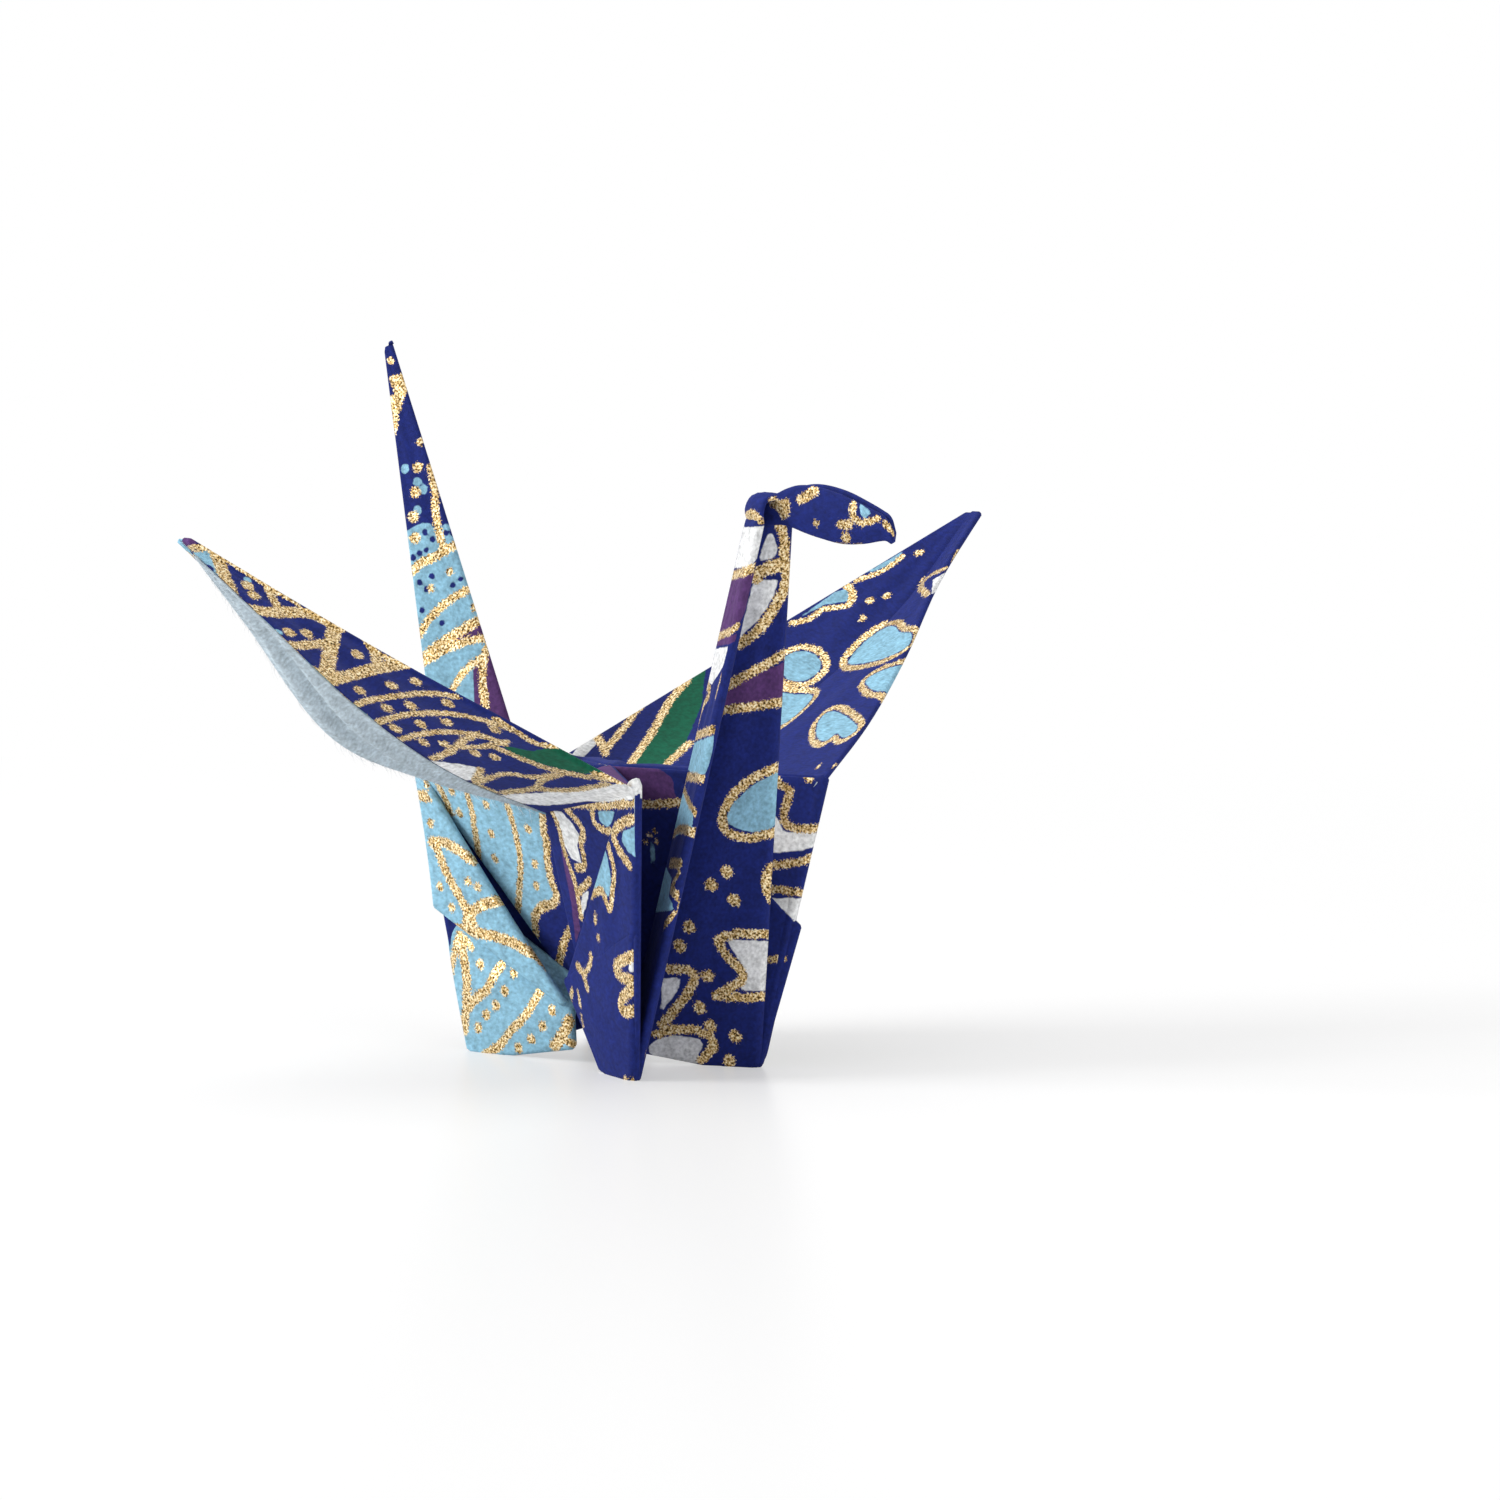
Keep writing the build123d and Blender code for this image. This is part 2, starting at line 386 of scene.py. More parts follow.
# The print on the near panel's base, tail half
TAIL_BASE_PRINT = FacePrint(Ink.BLUE, placed(NEAR_PANEL, (
    Patch("beside the slit", Ink.INDIGO, (*SLIT_BORDER, (760, 960), (850, 1080), (960, 1000), (930, 800),
        (880, 560), (830, 300), (790, 215))),
    Stroke("border", SLIT_BORDER, 0.55),
    Stroke("inner vein", ((200, 80), (235, 150), (265, 220)), 0.5),
    Stroke("left vein", ((350, 120), (378, 230), (390, 310), (402, 380), (412, 490))),
    Stroke("right vein", ((560, 180), (590, 280), (612, 370), (628, 470), (628, 560), (622, 650),
        (612, 760))),
    Dots("seeds", ((312, 225), (478, 330), (495, 462), (450, 180), (668, 310), (705, 490), (713, 605),
        (270, 112))),
    Stroke("dash", ((895, 825), (860, 895), (830, 1010)), 0.5),
)))

# The print on the near panel's tail flap
TAIL_FLAP_PRINT = FacePrint(Ink.BLUE, placed(NEAR_PANEL, (
    Patch("corner", Ink.GOLD, ((85, 112), (135, 108), (165, 165), (95, 158)), smooth=True),
    Stroke("upper branch", ((165, 375), (230, 380), (290, 410), (340, 445), (385, 475)), 0.55),
    Stroke("trunk", ((185, 385), (215, 470), (255, 560), (300, 640), (340, 720), (365, 800)), 0.55),
    Stroke("middle branch", ((375, 740), (440, 700), (535, 680)), 0.6),
    Stroke("lower branch", ((300, 830), (380, 845), (470, 865), (560, 890), (640, 930), (720, 975),
        (770, 1020)), 0.58),
    Dots("knot", ((362, 798),), 0.5),
    Dots("seeds", ((355, 580), (405, 610), (270, 718), (208, 610), (160, 280), (220, 790), (140, 68)), 0.25),
)))

# The print on the near panel's lower tail flap
LOWER_TAIL_PRINT = FacePrint(Ink.BLUE, placed(NEAR_PANEL, (
    Stroke("trunk", ((315, 870), (330, 960), (345, 1060), (350, 1150), (345, 1250), (335, 1360)), 0.58),
    Stroke("trunk root", ((300, 890), (278, 990), (262, 1080)), 0.4),
    Stroke("bud", ((330, 880), (372, 925)), 0.45),
    Stroke("branch", ((345, 1260), (400, 1190), (450, 1150), (490, 1080), (535, 1015)), 0.52),
    Stroke("long branch", ((440, 1490), (520, 1440), (590, 1350), (650, 1290), (700, 1210), (745, 1140)),
        0.5),
    Dots("seeds", ((418, 1015), (595, 1062), (545, 1155), (500, 1230), (450, 1280), (410, 1345), (795, 1258),
        (745, 1338), (685, 1405), (620, 1455)), 0.29),
    Stroke("foot", ((885, 1310), (850, 1380), (810, 1440)), 0.7),
    Stroke("foot tip", ((850, 1405), (945, 1450)), 0.45),
)))

# The print on the near panel's base, neck half
NECK_BASE_PRINT = FacePrint(Ink.INDIGO, placed(NEAR_CORNER, (
    Patch("slit", Ink.PURPLE, ((100, 380), (125, 390), (150, 500), (178, 640), (190, 760), (170, 820),
        (150, 640))),
    Patch("petal", Ink.WHITE, ((62, 190), (105, 200), (150, 250), (188, 310), (176, 360), (200, 447),
        (150, 420), (118, 360), (90, 280))),
    Stroke("petal's left rim", ((55, 195), (88, 270), (110, 360), (130, 430), (160, 510), (180, 600),
        (196, 700)), 0.4),
    Stroke("petal's right rim", ((118, 175), (165, 230), (205, 290), (195, 350), (207, 410), (208, 455),
        (175, 465)), 0.45),
    Patch("small petal", Ink.BLUE, ((272, 195), (355, 195), (340, 250), (320, 275), (285, 245))),
    Stroke("small petal's rim", ((248, 185), (255, 240), (290, 280), (335, 290)), 0.42),
    Stroke("twig", ((178, 585), (235, 525)), 0.42),
    Patch("leaf", Ink.WHITE, ((205, 590), (232, 570), (222, 640), (200, 705), (190, 650))),
    Patch("fold's white", Ink.WHITE, ((30, 80), (460, 80), (460, 138), (400, 145), (300, 155), (200, 150),
        (120, 152), (30, 160))),
    Stroke("upper border", ((20, 172), (120, 165), (200, 165), (300, 172), (400, 160)), 0.4),
)))

# The print on the near panel's neck flaps
NECK_FLAP_PRINT = FacePrint(Ink.INDIGO, placed(NEAR_CORNER, (
    Patch("fold's white", Ink.WHITE, ((30, 0), (490, 0), (490, 134), (400, 143), (300, 155))),
    Stroke("upper border", ((340, 170), (400, 158), (460, 152)), 0.5),
    Patch("edge petal", Ink.BLUE, ((395, 292), (460, 265), (460, 420), (415, 385), (388, 335))),
    Stroke("edge petal's rim", ((450, 228), (385, 258), (348, 300), (360, 345), (382, 392), (425, 452)),
        0.55),
    Patch("petal", Ink.BLUE, ((302, 350), (320, 420), (338, 520), (326, 608), (300, 565), (262, 580),
        (225, 565), (262, 460))),
    Stroke("petal's rim", ((308, 310), (335, 400), (352, 480), (346, 560), (332, 660), (306, 602), (288, 572),
        (238, 592)), 0.45),
    Dots("seeds", ((262, 692), (262, 716), (277, 795)), 0.2),
    Stroke("flower's left", ((178, 930), (200, 960), (215, 1000), (225, 1035)), 0.42),
    Stroke("flower's right", ((242, 880), (236, 925), (214, 965)), 0.4),
    Patch("edge leaf", Ink.WHITE, ((425, 915), (460, 890), (460, 970), (418, 955))),
    Stroke("edge leaf's rim", ((450, 880), (372, 915), (362, 952), (392, 985), (450, 1005)), 0.6),
    Stroke("edge bud", ((450, 1040), (398, 1075), (382, 1115), (402, 1148), (450, 1140)), 0.62),
    Stroke("low twig", ((152, 1045), (142, 1120)), 0.35),
    Stroke("low dash", ((180, 1055), (192, 1120)), 0.25),
    Stroke("lower dash", ((196, 1165), (205, 1215)), 0.2),
    Stroke("raw edge", ((258, 1418), (309, 1464), (373, 1512)), 0.3, Ink.WHITE),
    Dots("corner dabs", ((405, 1478), (440, 1482)), 0.28),
)))

# The print on the far gusset, beside the neck
FAR_GUSSET_PRINT = FacePrint(Ink.INDIGO, placed(NECK_FOOT, (
    Patch("hump", Ink.PURPLE, ((0, 60), (190, 80), (310, 160), (335, 262), (130, 262), (0, 250))),
    Stroke("hump's rim", ((120, 274), (230, 280), (345, 272)), 0.42),
    Patch("deep leaf", Ink.BLUE, ((222, 440), (238, 470), (240, 530), (228, 555), (220, 500))),
    Dots("deep flecks", ((216, 414), (200, 446), (250, 440), (235, 395)), 0.14),
    Patch("band", Ink.WHITE, ((700, 330), (770, 330), (800, 400), (990, 405), (990, 440), (880, 482),
        (700, 495))),
    Stroke("step", ((765, 160), (790, 200), (825, 222), (808, 290), (800, 350), (850, 385), (990, 385)),
        0.42),
    Stroke("upper stripe", ((700, 545), (840, 537), (960, 500)), 0.42),
    Stroke("lower stripe", ((700, 650), (800, 655), (930, 670)), 0.38),
    Patch("corner", Ink.WHITE, ((700, 690), (900, 690), (850, 795), (800, 740))),
    Dots("bud", ((910, 165),), 0.25),
)))

# The print on a lower neck flap's turned end
CUFF_PRINT = FacePrint(Ink.INDIGO, placed(NECK_FOOT, (Stroke("dab", ((735, 955), (800, 950)), 0.35),)))

# The print on the outside of the left wall, from the head down
NECK_OUTER_PRINT = FacePrint(Ink.INDIGO, placed(NECK_TOP, (
    Patch("top white", Ink.WHITE, ((600, 330), (720, 325), (700, 440), (640, 525), (560, 530), (580, 430))),
    Patch("upper purple", Ink.PURPLE, ((530, 580), (670, 540), (650, 640), (590, 805), (440, 865),
        (480, 700))),
    Stroke("upper border", ((530, 570), (620, 545), (670, 525)), 0.5),
    Patch("thin purple", Ink.PURPLE, ((420, 890), (580, 850), (560, 895), (410, 925))),
    Stroke("middle border", ((430, 880), (530, 845), (595, 800)), 0.42),
    Patch("middle white", Ink.WHITE, ((390, 940), (530, 915), (505, 1010), (450, 1100), (390, 1060))),
    Patch("sliver", Ink.BLUE, ((370, 1050), (415, 1060), (400, 1180), (340, 1320), (310, 1320))),
    Stroke("stem", ((415, 1080), (440, 1140), (410, 1200), (385, 1290)), 0.48),
    Stroke("stem's side", ((495, 1060), (470, 1155)), 0.36),
    Patch("upper petal", Ink.BLUE, ((320, 1400), (470, 1345), (430, 1535), (370, 1550), (315, 1500))),
    Stroke("petal's rim", ((340, 1375), (400, 1340), (465, 1318)), 0.48),
)) + placed(NECK_FOOT, (
    Stroke("petal's foot", ((350, 165), (400, 160), (460, 175)), 0.45),
    Stroke("vein", ((368, 150), (362, 200), (390, 280), (425, 325)), 0.36),
    Patch("lower petal", Ink.BLUE, ((345, 195), (405, 310), (405, 390), (300, 430), (318, 300))),
    Stroke("lower petal's rim", ((310, 420), (350, 388), (415, 405)), 0.48),
    Patch("low petal", Ink.BLUE, ((285, 550), (312, 600), (300, 680), (325, 740), (205, 755), (235, 640))),
    Stroke("low stem", ((305, 535), (362, 545), (332, 600), (310, 650), (345, 690), (330, 750), (280, 805)),
        0.5),
    Dots("foot dabs", ((200, 1365), (150, 1475)), 0.27),
)))

# The print on the inside of the right wall, from the head down
NECK_INNER_PRINT = FacePrint(Ink.INDIGO, placed(NECK_TOP, (
    Patch("top petal", Ink.WHITE, ((685, 485), (720, 375), (748, 368), (770, 430), (757, 472), (715, 490)),
        smooth=True),
    Patch("upper petal", Ink.WHITE, ((655, 600), (720, 588), (772, 590), (760, 640), (720, 720), (660, 800),
        (585, 865), (585, 820), (620, 740)), smooth=True),
    Stroke("edge border", ((780, 300), (805, 400), (805, 480), (818, 540), (808, 620), (770, 700), (720, 780),
        (670, 840), (585, 905)), 0.52),
    Stroke("cross border", ((660, 575), (720, 532), (800, 508)), 0.68),
    Patch("purple band", Ink.PURPLE, ((470, 1150), (540, 1105), (850, 970), (850, 1165), (650, 1190),
        (470, 1210))),
    Stroke("band's upper rim", ((525, 1110), (600, 1065), (700, 1010), (850, 925)), 0.46),
    Stroke("band's lower rim", ((460, 1232), (560, 1220), (680, 1205), (830, 1180)), 0.46),
)) + placed(NECK_FOOT, (
    Patch("blue petal", Ink.BLUE, ((800, 130), (800, 240), (760, 372), (680, 400), (600, 386), (552, 350),
        (570, 290), (640, 220), (720, 165)), smooth=True),
    Stroke("blue petal's rim", ((800, 110), (700, 150), (620, 200), (560, 270), (533, 340), (550, 395),
        (610, 420), (680, 422), (800, 392)), 0.46),
    Dots("seeds", ((553, 575), (485, 632), (585, 698), (388, 815), (347, 897), (472, 1028), (435, 1165),
        (590, 1290), (565, 1400), (480, 1245)), 0.34),
    Stroke("edge bud", ((745, 555), (722, 620), (745, 690)), 0.55),
    Patch("stepped leaf", Ink.WHITE, ((552, 868), (760, 878), (760, 1092), (608, 1092), (642, 1020),
        (600, 950))),
    Stroke("stepped leaf's rim", ((760, 848), (620, 845), (530, 860), (520, 890), (560, 950), (610, 1000),
        (620, 1040), (570, 1080), (505, 1112)), 0.48),
    Stroke("stepped leaf's foot", ((505, 1115), (620, 1122), (740, 1115)), 0.46),
    Patch("left leaf", Ink.WHITE, ((270, 1040), (352, 1033), (345, 1080), (310, 1130), (265, 1185))),
    Stroke("left leaf's rim", ((300, 998), (380, 1000), (412, 1030), (390, 1090), (340, 1160), (270, 1240)),
        0.5),
    Patch("foot leaf", Ink.WHITE, ((235, 1310), (330, 1288), (442, 1310), (430, 1370), (412, 1410),
        (225, 1370)), smooth=True),
    Stroke("foot leaf's rim", ((245, 1285), (330, 1260), (420, 1265), (482, 1300), (490, 1340), (440, 1395)),
        0.48),
)))

# The print on the knot
KNOT_PRINT = FacePrint(Ink.INDIGO, placed(NECK_TOP, (
    Stroke("back dab", ((638, 268), (662, 300), (684, 325)), 0.7),
    FOLD_DAB,
    Stroke("edge border", ((745, 300), (785, 318), (800, 360)), 0.5),
)))

# The print on the left of the head
CHEEK_PRINT = FacePrint(Ink.INDIGO, placed(NECK_TOP, (
    FOLD_DAB,
    Stroke("brow", ((885, 195), (918, 175), (955, 150)), 0.5),
    Patch("fleck", Ink.BLUE, ((1176, 212), (1235, 256), (1196, 290), (1178, 262))),
    Stroke("cheek", ((1148, 215), (1138, 262), (1158, 298)), 0.42),
    Stroke("bill's top", ((1190, 312), (1228, 300), (1262, 288)), 0.36),
    Stroke("bill's ridge", ((1300, 312), (1318, 332)), 0.38),
    Stroke("cheek dab", ((1078, 315), (1118, 322)), 0.46),
    Dots("chin dab", ((1108, 386),), 0.3),
    Dots("throat dab", ((962, 310),), 0.2),
    Stroke("bill", ((1345, 350), (1362, 385), (1374, 412)), 0.42),
)))

# The print on the right of the head, which the photograph doesn't show
FAR_CHEEK_PRINT = FacePrint(Ink.INDIGO, (
    Stroke("brow", ((1.6, 0.7), (2.3, 0.55)), 0.5),
    Dots("dabs", ((3.4, 1.5), (5.0, 1.1), (6.1, 0.8)), 0.3),
))

# The print on the outside of the left wall
TAIL_OUTER_PRINT = FacePrint(Ink.INDIGO, placed(TAIL, (
    Patch("blue ground", Ink.BLUE, ((120, 780), (200, 735), (285, 750), (330, 815), (520, 1300), (560, 1600),
        (100, 1600), (120, 1000))),
    Dots("blue specks", ((135, 530), (180, 580), (182, 690), (205, 610), (290, 760)), 0.24, Ink.BLUE),
    Dots("dark specks", ((190, 855), (215, 840), (240, 800), (210, 775), (290, 775), (245, 745), (190, 965),
        (237, 942), (215, 990), (345, 950), (315, 975), (275, 1120), (200, 1070), (165, 870)), 0.17,
        Ink.INDIGO),
    Patch("purple edge", Ink.PURPLE, ((455, 1185), (500, 1280), (620, 1620), (500, 1620), (450, 1440),
        (438, 1350))),
    Patch("purple stripe", Ink.PURPLE, ((395, 1300), (425, 1250), (428, 1340), (430, 1450), (400, 1440))),
    Patch("purple wedge", Ink.PURPLE, ((250, 1215), (440, 1110), (460, 1170), (330, 1205))),
    Patch("gold patch", Ink.GOLD, ((72, 182), (132, 172), (142, 230), (120, 290), (95, 405), (75, 370),
        (68, 270), (92, 235)), smooth=True),
    Dots("beads", ((183, 525), (174, 620), (165, 715), (172, 795)), 0.3),
    Dots("small beads", ((78, 118), (190, 430), (305, 925), (233, 988), (398, 1060)), 0.21),
    Stroke("edge line", ((232, 525), (248, 620), (250, 690), (264, 770), (280, 835)), 0.42),
    Stroke("band", ((150, 930), (200, 890), (260, 860), (340, 815)), 0.5),
    Stroke("first vein", ((185, 1170), (240, 1090), (310, 1030), (395, 982)), 0.44),
    Stroke("second vein", ((195, 1270), (250, 1215), (330, 1160), (435, 1098)), 0.55),
    Stroke("third vein", ((200, 1275), (290, 1222), (380, 1187), (460, 1178)), 0.42),
    Stroke("fourth vein", ((300, 1400), (350, 1320), (400, 1270), (435, 1248)), 0.42),
    Stroke("side line", ((460, 1185), (436, 1250), (430, 1320), (436, 1400), (445, 1470)), 0.46),
)))

# The print on the wing's upper face, with its blossom
WING_TOP_PRINT = FacePrint(Ink.INDIGO, placed(RIGHT_WING, (
    Patch("first petal", Ink.BLUE, ((60, 610), (85, 575), (140, 558), (188, 578), (196, 618), (150, 655),
        (90, 650)), 0.42, smooth=True),
    Patch("second petal", Ink.BLUE, ((290, 600), (330, 540), (400, 487), (438, 478), (458, 497), (495, 502),
        (480, 545), (390, 587)), 0.42, smooth=True),
    Patch("third petal", Ink.BLUE, ((345, 655), (400, 622), (470, 605), (480, 650), (432, 712), (408, 690),
        (372, 688)), 0.42, smooth=True),
    Patch("fourth petal", Ink.BLUE, ((40, 700), (120, 700), (172, 705), (135, 752), (70, 800), (40, 780)),
        0.42, smooth=True),
    Patch("fifth petal", Ink.BLUE, ((186, 838), (190, 790), (225, 757), (270, 765), (318, 808), (275, 842),
        (250, 828), (215, 852)), 0.42, smooth=True),
    Patch("edge petal", Ink.BLUE, ((135, 445), (240, 370), (290, 350), (287, 396), (212, 407))),
    Stroke("edge petal's rim", ((105, 468), (160, 455), (210, 422), (288, 408), (302, 365), (280, 345)),
        0.42),
    Patch("far petal", Ink.BLUE, ((340, 305), (465, 235), (440, 270), (380, 295))),
    Stroke("far petal's rim", ((315, 328), (400, 297), (465, 250)), 0.34),
    Patch("tip bud", Ink.WHITE, ((565, 325), (610, 300), (590, 355), (560, 375))),
    Stroke("tip bud's rim", ((548, 375), (525, 348), (556, 312), (608, 288)), 0.4),
    Dots("seeds", ((520, 238), (415, 378), (360, 393), (335, 452), (192, 935), (245, 932)), 0.25),
    Stroke("tip dash", ((630, 265), (647, 228)), 0.3),
)) + placed(NECK_TOP, (
    Patch("root green", Ink.GREEN, ((30, 1520), (150, 1345), (250, 1185), (330, 1085), (420, 1020),
        (400, 1200), (320, 1390), (190, 1540))),
    Stroke("green's left rim", ((30, 1520), (150, 1345), (245, 1180), (330, 1080)), 0.5),
    Stroke("green's right rim", ((180, 1540), (260, 1462), (340, 1390)), 0.5),
    Stroke("root stripe", ((-70, 1420), (20, 1310), (100, 1205), (200, 1135)), 0.5),
)) + placed(LEFT_WING, (
    Stroke("root twig", ((1365, 705), (1402, 780)), 0.45),
    Patch("root white", Ink.WHITE, ((1290, 800), (1340, 715), (1368, 715), (1378, 745), (1335, 790))),
)))

# The print on the underside of the neck half
WING_UNDER_PRINT = FacePrint(Ink.INDIGO, placed(LEFT_WING, (
    Patch("tip", Ink.PURPLE, ((60, 80), (110, 90), (145, 135), (130, 170), (80, 150))),
    Patch("blue patch", Ink.BLUE, ((120, 170), (145, 150), (185, 155), (212, 190), (230, 270), (190, 260),
        (140, 220))),
    Dots("dark specks", ((185, 210), (160, 195), (200, 240)), 0.22, Ink.INDIGO),
    Dots("blue specks", ((395, 405), (300, 245)), 0.22, Ink.BLUE),
    Stroke("tip rim", ((130, 150), (165, 145)), 0.5),
    Stroke("tip band", ((205, 170), (232, 240), (268, 315), (300, 350)), 0.75),
    Stroke("upper line", ((165, 140), (265, 205), (365, 268), (450, 318)), 0.35),
    Stroke("first cross", ((365, 275), (392, 330)), 0.5),
    Stroke("first bar", ((270, 325), (370, 345), (480, 348), (580, 390)), 0.8),
    Stroke("second bar", ((370, 430), (450, 447), (560, 437)), 0.6),
    Stroke("column", ((568, 385), (556, 450), (546, 510), (538, 565)), 0.8),
    Stroke("third bar", ((430, 510), (500, 518), (550, 550)), 0.55),
    Stroke("fourth bar", ((495, 572), (600, 543), (680, 522), (785, 500)), 0.8),
    Stroke("star's arm", ((655, 415), (688, 468), (702, 515)), 0.55),
    Stroke("star's finger", ((690, 465), (760, 500)), 0.45),
    Dots("lattice dots", ((320, 293), (350, 405), (428, 406), (482, 410), (637, 475), (440, 470), (300, 262)),
        0.34),
    Dots("first row", ((570, 597), (645, 585), (742, 570), (817, 558)), 0.34),
    Stroke("first arc", ((590, 645), (680, 615), (780, 600), (870, 594), (945, 605)), 0.42),
    Dots("second row", ((650, 660), (730, 640), (802, 632), (915, 625)), 0.34),
    Stroke("second arc", ((665, 697), (760, 665), (850, 655), (950, 660), (1050, 685), (1125, 712)), 0.42),
    Dots("third row", ((755, 702), (832, 689), (912, 683), (1060, 705)), 0.32),
    Stroke("third arc", ((750, 742), (850, 716), (940, 714), (1030, 728), (1090, 750)), 0.4),
    Stroke("fan's stem", ((870, 795), (925, 772), (960, 742), (1010, 718)), 0.42),
    Stroke("fan's arm", ((945, 760), (1020, 758), (1100, 742)), 0.34),
    Dots("fourth row", ((842, 746), (1000, 778), (1060, 790), (905, 750)), 0.3),
    Patch("green", Ink.GREEN, ((1080, 755), (1180, 772), (1250, 757), (1330, 785), (1420, 838), (1330, 842),
        (1220, 817), (1130, 787))),
    Stroke("green's upper rim", ((1060, 672), (1115, 705), (1185, 748), (1245, 757)), 0.42),
    Stroke("green's lower rim", ((1050, 755), (1130, 790), (1230, 827), (1345, 852)), 0.4),
    Stroke("corner dab", ((1375, 848), (1450, 862)), 0.7),
    Patch("white leaf", Ink.WHITE, ((855, 800), (960, 813), (1018, 825), (1010, 862), (960, 860),
        (890, 838))),
    Stroke("white leaf's rim", ((1018, 828), (1002, 870), (1060, 900)), 0.42),
    Stroke("root line", ((1000, 872), (1090, 842), (1180, 852), (1265, 842)), 0.34),
    Stroke("lower root line", ((1085, 900), (1180, 887), (1205, 862), (1260, 843)), 0.36),
    Stroke("root rim", ((1180, 888), (1290, 892), (1410, 874)), 0.32),
    Patch("fold band", Ink.WHITE, ((1060, 908), (1200, 900), (1350, 882), (1440, 872), (1465, 845),
        (1520, 850), (1520, 930), (1350, 926), (1220, 940), (1100, 930))),
)))


@dataclass(frozen=True)
class PatternMaker:
    """Lays a traditional print of blossoms, stems and dots on the leaves that the photograph doesn't show.

    Lengths are in mm.
    """

    petals: int = 5
    petal_shape: tuple[Point, ...] = (  # out from the blossom's middle and aside, over its size
        (0.3, 0.0), (0.52, 0.24), (0.82, 0.3), (1.0, 0.16),
        (0.92, 0.0), (1.0, -0.16), (0.82, -0.3), (0.52, -0.24),
    )
    blossom: float = 3.1  # from a blossom's middle to the end of its petals
    spacing: float = 7.4
    stray: float = 1.2  # how far a blossom may lie off its place, each way
    blue_share: float = 0.6  # of the blossoms; the others are white
    clear: float = 0.8  # room kept beside the band, over a blossom's size
    pollen: int = 3  # dots round a blossom
    pollen_turn: float = 2.1  # radians from one to the next
    pollen_reach: float = 1.35  # over the blossom's size
    pollen_radius: float = 0.24
    rim: float = 0.42
    band_inks: tuple[Ink, ...] = (Ink.BLUE, Ink.PURPLE, Ink.BLUE, Ink.GREEN)
    band_tilt: float = 0.5  # greatest slope of the band, either way
    band_place: Point = (0.2, 0.8)  # least and greatest share of the leaf's length before its middle
    band_half: Point = (2.0, 4.5)  # least and greatest half width
    row_step: float = 1.5  # from one stem on the band to the next
    row_spare: float = 2.0  # how far the rows run past the leaf
    stem: float = 0.42
    stem_rise: float = 0.5  # a stem's middle, above its start
    stem_fall: float = 0.2  # and its end, below it
    seed_spare: float = 1.4  # how far the rows of seeds start before the leaf
    seed_columns: tuple[float, ...] = (-1.4, 0.2, 1.3)
    seed_radius: float = 0.2

    def petal(self, ink: Ink, middle: Array, turn: float) -> Patch:
        """Return one notched petal of a blossom."""
        out = np.array((math.cos(turn), math.sin(turn))) * self.blossom
        side = np.array((-out[1], out[0]))
        outline = tuple(tuple(middle + a * out + b * side) for a, b in self.petal_shape)
        return Patch("petal", ink, outline, self.rim, smooth=True)

    def flower(self, ink: Ink, middle: Array, turn: float) -> list[Motif]:
        """Return a blossom's petals and the pollen round it."""
        motifs: list[Motif] = []
        for number in range(self.petals):
            motifs.append(self.petal(ink, middle, turn + number * math.tau / self.petals))
        angles = turn + np.arange(self.pollen) * self.pollen_turn
        rays = [np.array((math.cos(angle), math.sin(angle))) for angle in angles]
        dots = tuple(tuple(middle + self.pollen_reach * self.blossom * ray) for ray in rays)
        motifs.append(Dots("pollen", dots, self.pollen_radius))
        return motifs

    def band(self, ink: Ink, middle: float, tilt: float, half: float, size: Point) -> list[Motif]:
        """Return a light band across a leaf.

        Args:
            ink: its colour.
            middle: where its middle crosses the leaf's near edge, in mm.
            tilt: its slope.
            half: half its width, in mm.
            size: the leaf's length and width on its plane, in mm.

        Returns:
            The band, its rows of stems and the seeds between them.
        """
        long, wide = size
        reach = long + wide
        ends = ((-half, -reach), (half, -reach), (half, reach), (-half, reach))
        outline = tuple((middle + aside + tilt * row, row) for aside, row in ends)
        motifs: list[Motif] = [Patch("band", ink, outline, self.rim)]
        for row in np.arange(-wide - self.row_spare, wide + self.row_spare, self.row_step):
            start = middle + tilt * row
            path = ((start - half, row), (start, row + self.stem_rise), (start + half, row - self.stem_fall))
            motifs.append(Stroke("stem", path, self.stem))
        rows = np.arange(-wide - self.seed_spare, wide + self.row_spare, self.row_step)
        seeds = tuple((middle + tilt * row + aside, row) for row in rows for aside in self.seed_columns)
        motifs.append(Dots("seeds", seeds, self.seed_radius))
        return motifs

    def lay(self, seed: int, size: Point) -> FacePrint:
        """Return a print for a leaf.

        Args:
            seed: which arrangement of the pattern to lay.
            size: the leaf's length and width on its plane, in mm.

        Returns:
            A ground with a light band, and blossoms beside the band.
        """
        chance = np.random.default_rng(seed)
        long, wide = size
        tilt = chance.uniform(-self.band_tilt, self.band_tilt)
        middle = chance.uniform(*self.band_place) * long
        half = chance.uniform(*self.band_half)
        ink = self.band_inks[int(chance.integers(len(self.band_inks)))]
        motifs = self.band(ink, middle, tilt, half, size)
        for column in np.arange(-self.spacing / 2, long + self.spacing, self.spacing):
            for row in np.arange(-wide, wide + self.spacing, self.spacing):
                spot = np.array((column, row)) + chance.uniform(-self.stray, self.stray, 2)
                if abs(spot[0] - middle - tilt * spot[1]) < half + self.blossom * self.clear:
                    continue
                turn = chance.uniform(0, math.tau)
                ink = Ink.BLUE if chance.random() < self.blue_share else Ink.WHITE
                motifs += self.flower(ink, spot, turn)
        return FacePrint(Ink.INDIGO, tuple(motifs))


PATTERN = PatternMaker()


class Edge(Enum):
    """How a leaf ends: in a rounded fold, at a cut that stays inside its line, or against its neighbour."""

    FOLD = "fold"
    CUT = "cut"
    JOINT = "joint"


